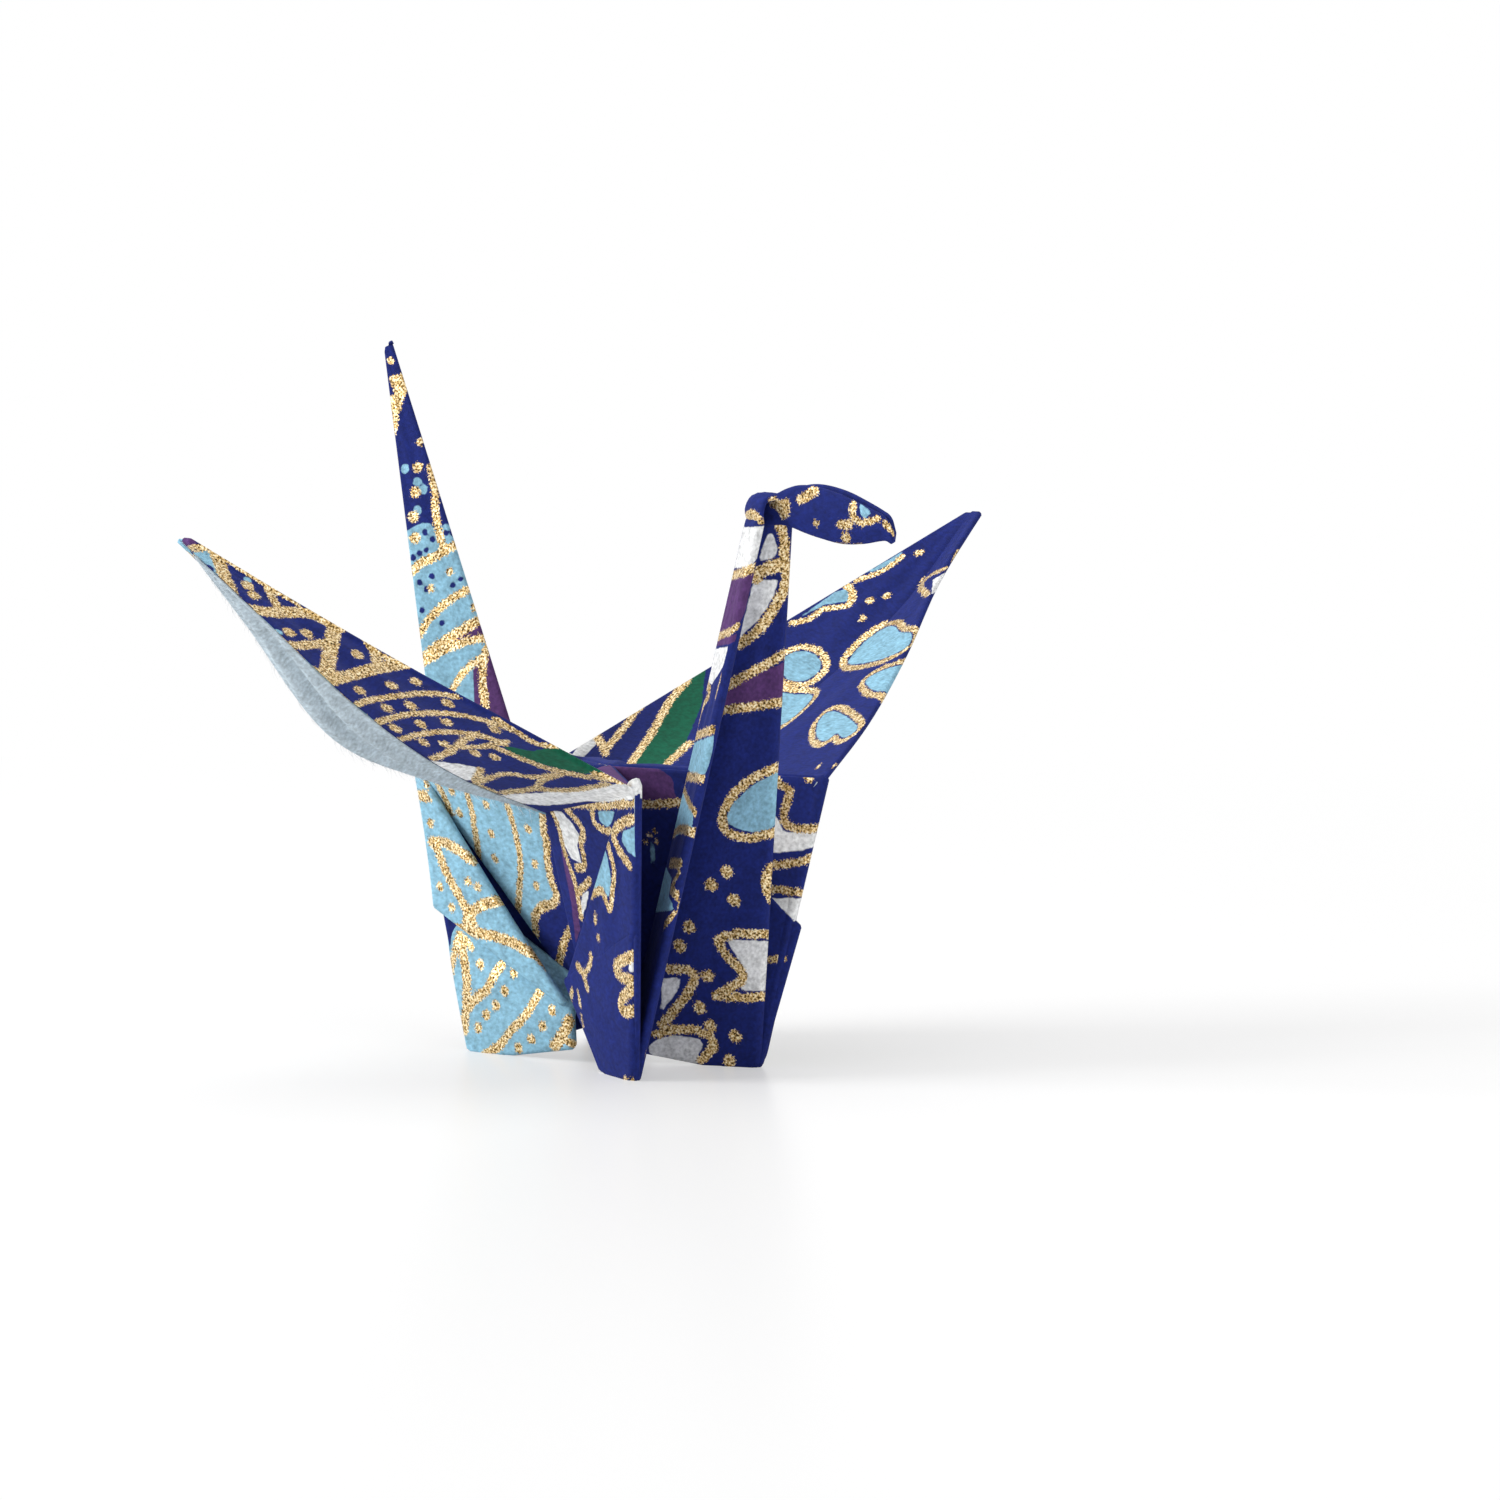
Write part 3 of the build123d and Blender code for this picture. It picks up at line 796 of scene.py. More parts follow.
LEAST_POINTS = 4  # of a leaf's grid, each way
MOST_INSET = 0.3  # share of a leaf's width that a cut edge may stay inside its line
WAVE_COUNT = 4
WAVES_ACROSS = (0.6, 2.2)  # least and greatest number of one wave's crests
WAVES_ALONG = (0.8, 3.0)
DIP_POWER = 5  # a dip ends soon after the rails' start
RAILS_APART = 1.0  # mm, rails that start closer don't give the leaf's plane there
JOINT_BULGE = 0.15  # share of a fold's roundness that an edge against a neighbour has
RIM_ANGLES = (45, 0, -45)  # degrees, the points round an edge
BACK_SEED = 50  # from the seed of a leaf's front to that of its back
UPWARD = (0.0, 0.0, 1.0)
LEFTWARD = (-1.0, 0.0, 0.0)


def grid_normals(points: Array) -> Array:
    """Return the normals at a grid's points, from the cells round each."""
    rows, columns = points.shape[:2]
    cross = np.cross(points[1:, 1:] - points[:-1, :-1], points[:-1, 1:] - points[1:, :-1])
    total = np.zeros_like(points)
    for i in (0, 1):
        for j in (0, 1):
            total[i:rows - 1 + i, j:columns - 1 + j] += cross
    return unit(-total)


def skin(index: Array, border: Array) -> list[tuple[int, ...]]:
    """Return the faces of a leaf's shell.

    Args:
        index: the number of each point of the front's grid; the back's follow in the same order.
        border: the numbers of the front's points round its border.

    Returns:
        The faces of the front, the back and the rounded edge between them.
    """
    count, ring = index.size, len(border)
    rims = [2 * count + ring * number + np.arange(ring) for number in range(len(RIM_ANGLES))]
    lines = [border, *rims, border + count]
    cells = (index[:-1, :-1], index[1:, :-1], index[1:, 1:], index[:-1, 1:])
    quads = np.stack(cells, axis=-1).reshape(-1, 4)
    faces = [tuple(quad) for quad in quads.tolist()]
    faces += [tuple(quad) for quad in (quads[:, ::-1] + count).tolist()]
    for first, second in zip(lines, lines[1:]):
        sides = (first, np.roll(first, -1), np.roll(second, -1), second)
        for corners in zip(*(side.tolist() for side in sides)):
            kept = tuple(dict.fromkeys(corners))
            if len(kept) > 2:
                faces.append(kept)
    return faces


@dataclass
class Leaf:
    """One leaf of folded paper, ruled between two rails and rounded at its edges."""

    name: str
    near: list[Array]
    far: list[Array]
    facing: tuple[float, float, float]
    thick: tuple[float, float] = (0.3, 0.3)  # mm, at the rails' starts and ends
    front: FacePrint | None = None
    back: FacePrint | None = None
    edges: tuple[Edge, Edge, Edge, Edge] = (Edge.FOLD,) * 4  # near, end, far, start
    puff: float = 0.0  # mm that the middle stands out of the leaf's plane
    lift: float = 0.0  # mm that all of it does
    near_bow: float = 0.0  # mm that the near rail bows out of the plane
    start_dip: float = 0.0  # mm that the rails' start lies behind the plane
    end_rise: float = 0.0  # mm that the rails' end stands out of it
    rounded: tuple[float, float] = (0.0, 0.0)  # mm, the corners at the near rail's start and end
    round_wide: float = 1.0  # their width across the leaf, over that
    bent: bool = False  # the rails turn sharply at their points
    ripple: float = 0.04  # mm, the height of its waves
    seed: int = 1

    def grid(self) -> tuple[Array, Array, bool]:
        """Return the leaf's middle surface, its normals, and whether its faces turn round."""
        near, far = np.array(self.near, float), np.array(self.far, float)
        length = max(np.linalg.norm(np.diff(rail, axis=0), axis=1).sum() for rail in (near, far))
        width = np.linalg.norm(near - far, axis=1).max()
        rows, columns = (max(LEAST_POINTS, math.ceil(reach / PITCH)) for reach in (width, length))
        draw = bent_line if self.bent else smooth_line
        near, far = draw(near, columns), draw(far, columns)
        gap = np.linalg.norm(far - near, axis=1)
        inset = np.minimum(self.halves(columns) / np.maximum(gap, TINY), MOST_INSET)
        along = np.linspace(0, 1, columns)[None, :]
        low = np.where(self.edges[0] is Edge.CUT, inset, 0.0) + self.corners(along[0] * length, length, gap)
        high = np.where(self.edges[2] is Edge.CUT, 1 - inset, 1.0)
        share = np.linspace(0, 1, rows)[:, None]
        part = (low + (high - low) * share)[..., None]
        points = near[None] * (1 - part) + far[None] * part
        normal = grid_normals(points)
        turned = bool((normal.reshape(-1, 3).mean(0) @ np.array(self.facing)) < 0)
        if turned:
            normal = -normal
        return points + normal * self.bulge(share, along)[..., None], normal, turned

    def halves(self, columns: int) -> Array:
        """Return half the leaf's thickness at each column."""
        return np.linspace(*self.thick, columns) / 2

    def bulge(self, share: Array, along: Array) -> Array:
        """Return how far the leaf stands out of its ruled surface, by the shares across and along it."""
        chance = np.random.default_rng(self.seed)
        swell = np.sin(math.pi * share) * np.sin(math.pi * along)
        wave = 0.0
        for _ in range(WAVE_COUNT):
            turns = share * chance.uniform(*WAVES_ACROSS) + along * chance.uniform(*WAVES_ALONG)
            wave = wave + np.sin(math.tau * (turns + chance.random()))
        move = self.lift + self.puff * swell + self.ripple * swell * wave
        move += self.near_bow * (1 - share) ** 2 * np.sqrt(np.sin(math.pi * along).clip(0))
        move += self.end_rise * along**2 - self.start_dip * (1 - along) ** DIP_POWER
        return move

    def corners(self, reach: Array, length: float, gap: Array) -> Array:
        """Return the share of its width that each column gives up to the near rail's rounded corners."""
        cut = np.zeros_like(gap)
        for radius, away in zip(self.rounded, (reach, length - reach)):
            if radius:
                inside = np.clip(1 - away / radius, 0, 1)
                wide = radius * self.round_wide
                cut += (1 - np.sqrt(1 - inside**2)) * wide / np.maximum(gap, wide)
        return cut

    def flat(self, seen: bool) -> Flat:
        """Return the plane on which the leaf's print is laid out."""
        start, end = self.near[0], self.near[-1]
        other = self.far[0] if np.linalg.norm(self.far[0] - start) > RAILS_APART else self.far[-1]
        if len(self.far) > 2:
            other = self.far[len(self.far) // 2]
        along = unit(end - start)
        facing = unit(np.cross(along, other - start))
        return Flat(start, along, np.cross(facing, along), facing, seen)

    def size(self) -> Point:
        """Return the leaf's length and width on its plane."""
        flat = self.flat(False)
        spots = flat.drop(np.array([*self.near, *self.far]))
        return float(np.ptp(spots[:, 0])), float(np.abs(spots[:, 1]).max())

    def border(self, middle: Array, normal: Array, index: Array) -> tuple[Array, Array]:
        """Return the leaf's border.

        Args:
            middle: the grid of its middle surface.
            normal: the grid's normals.
            index: the number of each point of the grid.

        Returns:
            The numbers of the points round it, and the directions out of it at them, shorter at a joint.
        """
        down, along = np.gradient(middle, axis=0), np.gradient(middle, axis=1)
        sides = (
            (index[0, :], -down[0], along[0]),
            (index[:, -1], along[:, -1], down[:, -1]),
            (index[-1, ::-1], down[-1, ::-1], along[-1, ::-1]),
            (index[::-1, 0], -along[::-1, 0], down[::-1, 0]),
        )
        normal = normal.reshape(-1, 3)
        outs = []
        for form, (numbers, out, run) in zip(self.edges, sides):
            for other in (unit(run), normal[numbers]):
                out = out - other * np.sum(out * other, axis=1, keepdims=True)
            outs.append(unit(out) * (JOINT_BULGE if form is Edge.JOINT else 1.0))
        return np.concatenate([side[0] for side in sides]), np.concatenate(outs)

    def shell(self) -> tuple[Array, list[tuple[int, ...]], dict[Ink, Array]]:
        """Return the leaf as a closed shell.

        Returns:
            Its points in mm, its faces and the distances to the inks' edges at its points.
        """
        middle, normal, turned = self.grid()
        rows, columns = middle.shape[:2]
        count = rows * columns
        index = np.arange(count).reshape(rows, columns)
        border, out = self.border(middle, normal, index)
        half = np.tile(self.halves(columns), rows)[:, None]
        middle, normal = middle.reshape(-1, 3), normal.reshape(-1, 3)
        rims = []
        for angle in RIM_ANGLES:
            turn = math.radians(angle)
            lean = out * math.cos(turn) + normal[border] * math.sin(turn)
            rims.append(middle[border] + lean * half[border])
        fronts, backs = middle + normal * half, middle - normal * half
        faces = skin(index, border)
        if turned:
            faces = [face[::-1] for face in faces]
        front = self.front or PATTERN.lay(self.seed, self.size())
        back = self.back or PATTERN.lay(self.seed + BACK_SEED, self.size())
        # A fold carries the front's print round its rim
        upper = front.fields(np.vstack([fronts, *rims]), self.flat(front.seen()))
        lower = back.fields(backs, self.flat(back.seen()))
        inks = {ink: np.concatenate([upper[ink][:count], lower[ink], upper[ink][count:]]) for ink in upper}
        return np.vstack([fronts, backs, *rims]), faces, inks


@dataclass(frozen=True)
class FoldPlan:
    """Where the sheet's folds meet, in mm, as the solid part has them.

    Left is as seen from in front, along +Y.
    """

    shift: tuple[float, float, float] = (-0.197, 1.701, -0.2)
    foot_half: float = 3.8
    foot_front: float = 7.0
    foot_back: float = 6.6
    waist_half: float = 2.45
    waist_rise: float = 1.1
    pocket_half: float = 2.65
    pocket_rise: float = 4.3
    pocket_step: float = 1.1
    base_lap: float = 1.5
    shoulder_half: float = 5.85
    shoulder_front: float = 9.9
    shoulder_rise: float = 14.8
    hip_half: float = 4.7
    hip_back: float = 10.0
    hip_rise: float = 14.45
    fold_half: float = 3.9
    fold_rise: float = 13.0
    hump_rise: float = 15.0
    flap_corner: float = 1.3
    second_flap: float = 7.8
    spine_front: float = 1.6
    spine_back: float = 1.05
    spine_rise: float = 2.1

    def at(self, x: float, y: float, z: float) -> Array:
        """Return a fold point in the crane's frame."""
        return np.array((x, y, z)) + np.array(self.shift)

    def foot(self, side: int, neck: bool) -> Array:
        """Return a standing corner."""
        return self.at(side * self.foot_half, -self.foot_front if neck else self.foot_back, 0)

    def corner(self, side: int, neck: bool) -> Array:
        """Return an end of a wing's fold."""
        if neck:
            return self.at(side * self.shoulder_half, -self.shoulder_front, self.shoulder_rise)
        return self.at(side * self.hip_half, self.hip_back, self.hip_rise)

    def fold(self, side: int) -> Array:
        """Return the middle of a wing's fold."""
        return self.at(side * self.fold_half, 0, self.fold_rise)

    def waist(self, side: int) -> Array:
        """Return the middle of a side panel's bottom edge."""
        return self.at(side * self.waist_half, 0, self.waist_rise)

    def pocket(self, side: int) -> Array:
        """Return where the flaps of a side panel meet."""
        return self.at(side * self.pocket_half, 0, self.pocket_rise)

    def base_foot(self, side: int) -> Array:
        """Return where a side panel's base ends, behind the flaps."""
        behind = self.at(side * (self.pocket_half - self.pocket_step), 0, self.pocket_rise)
        return behind + unit(behind - self.fold(side)) * self.base_lap

    def spine(self, neck: bool) -> Array:
        """Return the foot of the neck's or the tail's spine."""
        return self.at(0, -self.spine_front if neck else self.spine_back, self.spine_rise)

    def hump(self) -> Array:
        """Return the crown of the back."""
        return self.at(0, 0, self.hump_rise)


PLAN = FoldPlan()

Socket = bpy.types.NodeSocket
Colour = tuple[float, float, float, float]
Paint = tuple[int, int, int]
WHITE = (1.0, 1.0, 1.0, 1.0)


@dataclass(frozen=True)
class Shading:
    """A shader's node tree, with short ways to add steps to it."""

    tree: bpy.types.NodeTree

    def new(self, kind: str) -> bpy.types.Node:
        """Return a new node of the tree."""
        return self.tree.nodes.new(kind)

    def feed(self, socket: Socket, value: Socket | float | Colour) -> None:
        """Give a socket a fixed value, or link another one to it."""
        if isinstance(value, bpy.types.NodeSocket):
            self.tree.links.new(value, socket)
        else:
            socket.default_value = value

    def spot(self) -> Socket:
        """Return the place on the piece."""
        return self.new("ShaderNodeTexCoord").outputs["Object"]

    def noise(self, scale: float, detail: float, stretch: tuple[float, float, float] = (1, 1, 1)) -> Socket:
        """Return the value of a noise, stretched along the axes."""
        place, node = self.new("ShaderNodeMapping"), self.new("ShaderNodeTexNoise")
        place.inputs["Scale"].default_value = stretch
        self.feed(place.inputs["Vector"], self.spot())
        self.feed(node.inputs["Scale"], scale)
        self.feed(node.inputs["Detail"], detail)
        self.feed(node.inputs["Vector"], place.outputs["Vector"])
        return node.outputs["Fac"]

    def step(self, kind: str, first: Socket, second: Socket | float) -> Socket:
        """Return a sum, product or other step on two values."""
        node = self.new("ShaderNodeMath")
        node.operation = kind
        self.feed(node.inputs[0], first)
        self.feed(node.inputs[1], second)
        return node.outputs[0]

    def spread(self, value: Socket, given: Point, wanted: Point) -> Socket:
        """Return a value mapped from one range to another."""
        node = self.new("ShaderNodeMapRange")
        for name, number in zip(("From Min", "From Max", "To Min", "To Max"), (*given, *wanted)):
            self.feed(node.inputs[name], number)
        self.feed(node.inputs["Value"], value)
        return node.outputs["Result"]

    def mixed(self, share: Socket, under: Socket | Colour, over: Socket | Colour) -> Socket:
        """Return the colour of over laid on under by a share."""
        node = self.new("ShaderNodeMix")
        node.data_type = "RGBA"
        self.feed(node.inputs["Factor"], share)
        sockets = {socket.name: socket for socket in node.inputs if socket.type == "RGBA"}
        self.feed(sockets["A"], under)
        self.feed(sockets["B"], over)
        return next(socket for socket in node.outputs if socket.type == "RGBA")

    def ramp(self, value: Socket, places: tuple[float, ...], paints: tuple[Paint, ...]) -> Socket:
        """Return the colour of a ramp through paints at places, by a value."""
        node = self.new("ShaderNodeValToRGB")
        stops = node.color_ramp.elements
        for number in (0, -1):
            stops[number].position = places[number]
            stops[number].color = linear(*paints[number])
        for place, paint in zip(places[1:-1], paints[1:-1]):
            stops.new(place).color = linear(*paint)
        self.feed(node.inputs["Fac"], value)
        return node.outputs["Color"]

    def blend(self, share: Socket, under: bpy.types.Node, over: bpy.types.Node) -> Socket:
        """Return one shader laid on another by a share."""
        node = self.new("ShaderNodeMixShader")
        for socket, value in zip(node.inputs, (share, under.outputs[0], over.outputs[0])):
            self.feed(socket, value)
        return node.outputs[0]


@dataclass(frozen=True)
class Washi:
    """Mulberry paper with a printed ground, opaque colours and grainy gold."""

    name: str = "printed_washi"
    indigo: Paint = (20, 34, 105)
    blue: Paint = (134, 180, 202)
    purple: Paint = (84, 52, 104)
    green: Paint = (6, 86, 62)
    white: Paint = (228, 229, 229)
    # The paper's unprinted back: bluish where the print shows through, and darker than the paper's white as
    # painted shade, for the loose wing half that hangs in shadow
    bare: Paint = (178, 192, 201)
    gold_dark: Paint = (60, 43, 20)
    gold: Paint = (208, 169, 100)
    gold_light: Paint = (255, 242, 206)
    edge_soft: float = 0.03  # mm over which a printed edge fades
    edge_rough: float = 0.08  # mm that a printed edge wanders
    gold_rough: float = 0.22
    wander: float = 2600.0  # scales of the noises, per metre
    grain: float = 10500.0
    fibre: float = 8200.0
    cloud: float = 1700.0
    flake: float = 0.9  # scale of the gold's flakes, over the grain's
    fine: float = 3.0  # detail of a noise
    coarse: float = 2.0
    wander_range: Point = (0.3, 0.7)  # the values of a noise that are used
    noise_range: Point = (0.25, 0.75)
    flake_places: tuple[float, float, float] = (0.36, 0.49, 0.64)  # of dark, plain and light gold
    fibre_stretch: tuple[float, float, float] = (1.0, 0.4, 0.65)
    fibre_shade: Point = (0.7, 1.3)  # least and greatest brightness from fibre to fibre
    cloud_shade: float = 0.16  # that a cloud adds or takes away
    gold_metal: float = 0.55
    roughness: Point = (0.86, 0.46)  # of the paper and of the gold
    specular: float = 0.25
    bump: float = 0.5
    relief: float = 0.05  # mm

    def make(self) -> bpy.types.Material:
        """Return the material, which reads the inks' distances from the piece's attributes."""
        material = bpy.data.materials.new(self.name)
        material.use_nodes = True
        graph = Shading(material.node_tree)
        rough, crumbs = self.edge_rough / 2, self.gold_rough / 2
        wander = graph.spread(graph.noise(self.wander, self.fine), self.wander_range, (-rough, rough))
        speck = graph.noise(self.grain, self.coarse)
        crumb = graph.spread(speck, self.noise_range, (-crumbs, crumbs))
        colour = linear(*self.indigo)
        for ink, paint in zip(FIELDS, (self.blue, self.purple, self.green, self.white, self.bare)):
            colour = graph.mixed(self.cover(graph, ink, wander), colour, linear(*paint))
        hairs = graph.noise(self.fibre, self.fine, self.fibre_stretch)
        shade = graph.spread(hairs, self.noise_range, self.fibre_shade)
        cloud = graph.noise(self.cloud, self.coarse)
        clouds = graph.spread(cloud, self.noise_range, (-self.cloud_shade, self.cloud_shade))
        mottle = graph.new("ShaderNodeHueSaturation")
        graph.feed(mottle.inputs["Value"], graph.step("ADD", shade, clouds))
        graph.feed(mottle.inputs["Color"], colour)
        gold = self.cover(graph, Ink.GOLD, graph.step("ADD", wander, crumb))
        flakes = graph.ramp(graph.noise(self.grain * self.flake, self.coarse), self.flake_places,
                            (self.gold_dark, self.gold, self.gold_light))
        bump = graph.new("ShaderNodeBump")
        graph.feed(bump.inputs["Strength"], self.bump)
        graph.feed(bump.inputs["Distance"], self.relief * MM)
        graph.feed(bump.inputs["Height"], graph.step("ADD", hairs, graph.step("MULTIPLY", gold, speck)))
        finish = {
            "Base Color": graph.mixed(gold, mottle.outputs["Color"], flakes),
            "Metallic": graph.step("MULTIPLY", gold, self.gold_metal),
            "Roughness": graph.spread(gold, (0.0, 1.0), self.roughness),
            "Normal": bump.outputs["Normal"],
            "Specular IOR Level": self.specular,
        }
        for name, value in finish.items():
            graph.feed(material.node_tree.nodes["Principled BSDF"].inputs[name], value)
        return material

    def cover(self, graph: Shading, ink: Ink, jitter: Socket) -> Socket:
        """Return how much of an ink lies at each point.

        Args:
            graph: the material's tree.
            ink: the ink to look up.
            jitter: how far its edge strays at each point, in mm.

        Returns:
            One where the ink lies, zero where it doesn't.
        """
        node = graph.new("ShaderNodeAttribute")
        node.attribute_name = ink.value
        edge = graph.step("ADD", node.outputs["Fac"], jitter)
        return graph.spread(edge, (-self.edge_soft, self.edge_soft), (1.0, 0.0))


class Assembly:
    """A part of the crane whose leaves are joined into one piece."""

    name: str

    def fold(self) -> list[Leaf]:
        """Return the leaves, each with what is printed on it."""
        raise NotImplementedError

    def build(self, material: bpy.types.Material) -> bpy.types.Object:
        """Return the piece: every leaf's shell in one mesh, with the inks as attributes.

        Args:
            material: the printed paper.

        Returns:
            The piece, in metres in the crane's frame, riding on the body.
        """
        points, faces, inks, count = [], [], {}, 0
        leaves = self.fold()
        for leaf in leaves:
            spots, rings, found = leaf.shell()
            points.append(spots)
            faces += [tuple(i + count for i in ring) for ring in rings]
            for ink, values in found.items():
                inks.setdefault(ink, []).append(values)
            count += len(spots)
        spots = np.vstack(points)
        spots[:, 2] = np.maximum(spots[:, 2], 0.0)
        mesh = bpy.data.meshes.new(self.name)
        mesh.from_pydata((spots * MM).tolist(), [], faces)
        for ink, values in inks.items():
            layer = mesh.attributes.new(ink.value, "FLOAT", "POINT")
            layer.data.foreach_set("value", np.concatenate(values).astype(np.float32))
        mesh.polygons.foreach_set("use_smooth", [True] * len(mesh.polygons))
        mesh.materials.append(material)
        mesh.validate()
        piece = bpy.data.objects.new(self.name, mesh)
        bpy.context.scene.collection.objects.link(piece)
        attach(piece, BODY)
        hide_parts(NODE)
        LOG.info("%s: %d leaves, %d faces", self.name, len(leaves), len(mesh.polygons))
        return piece


@dataclass
class Body(Assembly):
    """One half of the body: a side panel with its flaps, the gussets at its ends and half of the back.

    Lengths are in mm.
    """

    side: int = -1
    name: str = "body_left"
    panel: float = 0.45  # thicknesses
    flap: float = 0.5
    gusset: float = 0.3
    roof: float = 0.3
    base_end: float = 0.05  # share of its width that half of the base keeps at its foot
    base_bow: float = 0.15  # how far the base's neck half stands out at the slit
    slit_depth: float = 0.45  # how far its tail half stands in
    neck_step: float = 0.1  # a lower neck flap's height over the flap beneath it
    flap_bend: float = 0.6  # where a neck flap's long edge bends, as a share of the way down
    flap_start: float = 0.03  # a tail flap's start, on the way from the hip to its tip
    flap_gape: float = 0.45  # a tail flap's long edge, off the base
    tip_share: float = 0.3  # a tail flap's tip, on the way from the pocket to the waist
    tip_rise: float = 0.45  # how far its lower edge stands off
    crease_step: float = 0.9  # a lower tail flap's start, behind the flap above it
    crease_lap: float = 0.12  # share of its edges that it runs on behind that flap
    puffed: float = 0.35
    crest: float = 0.8  # the near neck flap's top, above the fold's end
    crest_round: float = 0.5
    foot_round: float = 1.4
    foot_wide: float = 1.2  # a neck corner's rounding is this much wider than it is high
    foot_spare: float = 0.3  # paper below a neck corner that its rounding takes off
    heel: float = 0.5  # where a neck flap's bottom edge starts, on the way from the waist to the corner
    edge_round: float = 0.5  # corners of the leaves seen edge on
    roof_end: float = 0.04  # where the roof stops, on the way from the hump to the fold
    roof_puff: float = 0.5
    cuff_peak: tuple[float, float, float] = (0.35, -0.25, -0.25)  # off the end edge: outward, back and up
    cuff_foot: tuple[float, float, float] = (0.1, -0.05, 0.0)
    cuff_rises: Point = (0.63, 0.05)  # its inner edge's ends, as shares of the gusset's height
    cuff_width: float = 0.25  # share of the gusset's width that it covers
    cuff_lift: float = 0.15

    @property
    def shown(self) -> bool:
        """Return whether the photograph shows this half from outside."""
        return self.side < 0

    def fold(self) -> list[Leaf]:
        """Return the leaves of this half."""
        return [*self.base(), *self.neck_flaps(), *self.tail_flaps(), *self.ends()]

    def base(self) -> list[Leaf]:
        """Return the panel's base, whose two halves part at a slit."""
        fold, behind = PLAN.fold(self.side), PLAN.base_foot(self.side)
        edges = (Edge.CUT, Edge.JOINT, Edge.JOINT, Edge.FOLD)
        leaves = []
        for name, neck, front, bow, seed in (
            ("base_neck", True, NECK_BASE_PRINT, self.base_bow, 3),
            ("base_tail", False, TAIL_BASE_PRINT, -self.slit_depth, 4),
        ):
            corner = PLAN.corner(self.side, neck)
            far = [corner, toward(behind, corner, self.base_end)]
            leaves.append(Leaf(
                side_of(name, self.side), [fold, behind], far, (self.side, 0.0, 0.0), (self.panel,) * 2,
                front if self.shown else None, BARE_FACE, edges, near_bow=bow, seed=seed))
        return leaves

    def neck_flaps(self) -> list[Leaf]:
        """Return the flap folded over the base from the neck's end, and the lower flap on it."""
        side, pocket = self.side, PLAN.pocket(self.side)
        shoulder, foot = PLAN.corner(side, True), PLAN.foot(side, True)
        inset = shoulder + unit(PLAN.fold(side) - shoulder) * PLAN.flap_corner
        start = foot + unit(shoulder - foot) * PLAN.second_flap
        top = shoulder + np.array((0, 0, self.crest if self.shown else 0.0))
        low = foot - np.array((0, 0, self.foot_spare))
        heel = toward(PLAN.waist(side), low, self.heel)
        common = {
            "facing": LEFTWARD,
            "thick": (self.flap,) * 2,
            # The photograph sees these flaps from outside on the left and from inside on the right
            "front": NECK_FLAP_PRINT if self.shown else FAR_GUSSET_PRINT,
            "back": DARK_FACE if self.shown else None,
            "edges": (Edge.FOLD, Edge.FOLD, Edge.CUT, Edge.FOLD),
            "round_wide": self.foot_wide,
        }
        return [
            Leaf(side_of("flap_neck", side), [top, toward(shoulder, foot, self.flap_bend), low],
                 [inset, pocket, heel], bent=True, seed=5,
                 rounded=(self.crest_round if self.shown else 0.0, self.foot_round), **common),
            Leaf(side_of("lower_neck", side), [start, low], [pocket, heel], seed=7,
                 rounded=(0.0, self.foot_round), puff=-side * self.puffed / 2,
                 lift=-side * self.neck_step, **common),
        ]

    def tail_flaps(self) -> list[Leaf]:
        """Return the flap folded over the base from the tail's end, and the lower flap behind its tip."""
        side, pocket, waist = self.side, PLAN.pocket(self.side), PLAN.waist(self.side)
        hip, foot = PLAN.corner(side, False), PLAN.foot(side, False)
        start = foot + unit(hip - foot) * PLAN.second_flap
        tip = toward(pocket, waist, self.tip_share)
        common = {"facing": (side, 0.0, 0.0), "thick": (self.flap,) * 2, "back": BARE_FACE}
        return [
            Leaf(side_of("flap_tail", side), [toward(hip, tip, self.flap_start), tip], [hip, start],
                 front=TAIL_FLAP_PRINT if self.shown else None, puff=self.puffed / 2,
                 near_bow=self.flap_gape, end_rise=self.tip_rise, seed=6, **common),
            Leaf(side_of("lower_tail", side), [toward(start, hip, self.crease_lap), foot],
                 [toward(pocket, waist, self.crease_lap), waist],
                 front=LOWER_TAIL_PRINT if self.shown else None, puff=self.puffed,
                 start_dip=self.crease_step, rounded=(0.0, self.edge_round), seed=8, **common),
        ]

    def ends(self) -> list[Leaf]:
        """Return the gussets at both ends, the neck's with its cuff, and the back beside each."""
        side, fold, hump = self.side, PLAN.fold(self.side), PLAN.hump()
        leaves = []
        for neck in (True, False):
            foot, corner, spine = PLAN.foot(side, neck), PLAN.corner(side, neck), PLAN.spine(neck)
            # On the tail's gusset the plain indigo of the back, and of the front on the left, is painted
            # shade: it stands for the inner fold under the lower tail flap, dark in shadow
            front = DARK_FACE if self.shown else (FAR_GUSSET_PRINT if neck else None)
            leaves.append(Leaf(
                side_of("gusset", side), [foot, corner], [spine, hump], (0.0, -1.0 if neck else 1.0, 0.0),
                (self.gusset,) * 2, front, BARE_FACE if neck else DARK_FACE,
                (Edge.FOLD, Edge.JOINT, Edge.JOINT, Edge.FOLD),
                rounded=(self.edge_round, 0.0), seed=9 if neck else 10))
            if neck:
                leaves.append(self.cuff())
            far = [toward(hump, corner, self.roof_end), toward(hump, fold, self.roof_end)]
            leaves.append(Leaf(
                side_of("roof", side), [corner, fold], far, UPWARD, (self.roof,) * 2,
                FacePrint(Ink.PURPLE) if neck and self.shown else DARK_FACE, BARE_FACE,
                (Edge.JOINT,) * 4, puff=self.roof_puff, seed=11))
        return leaves

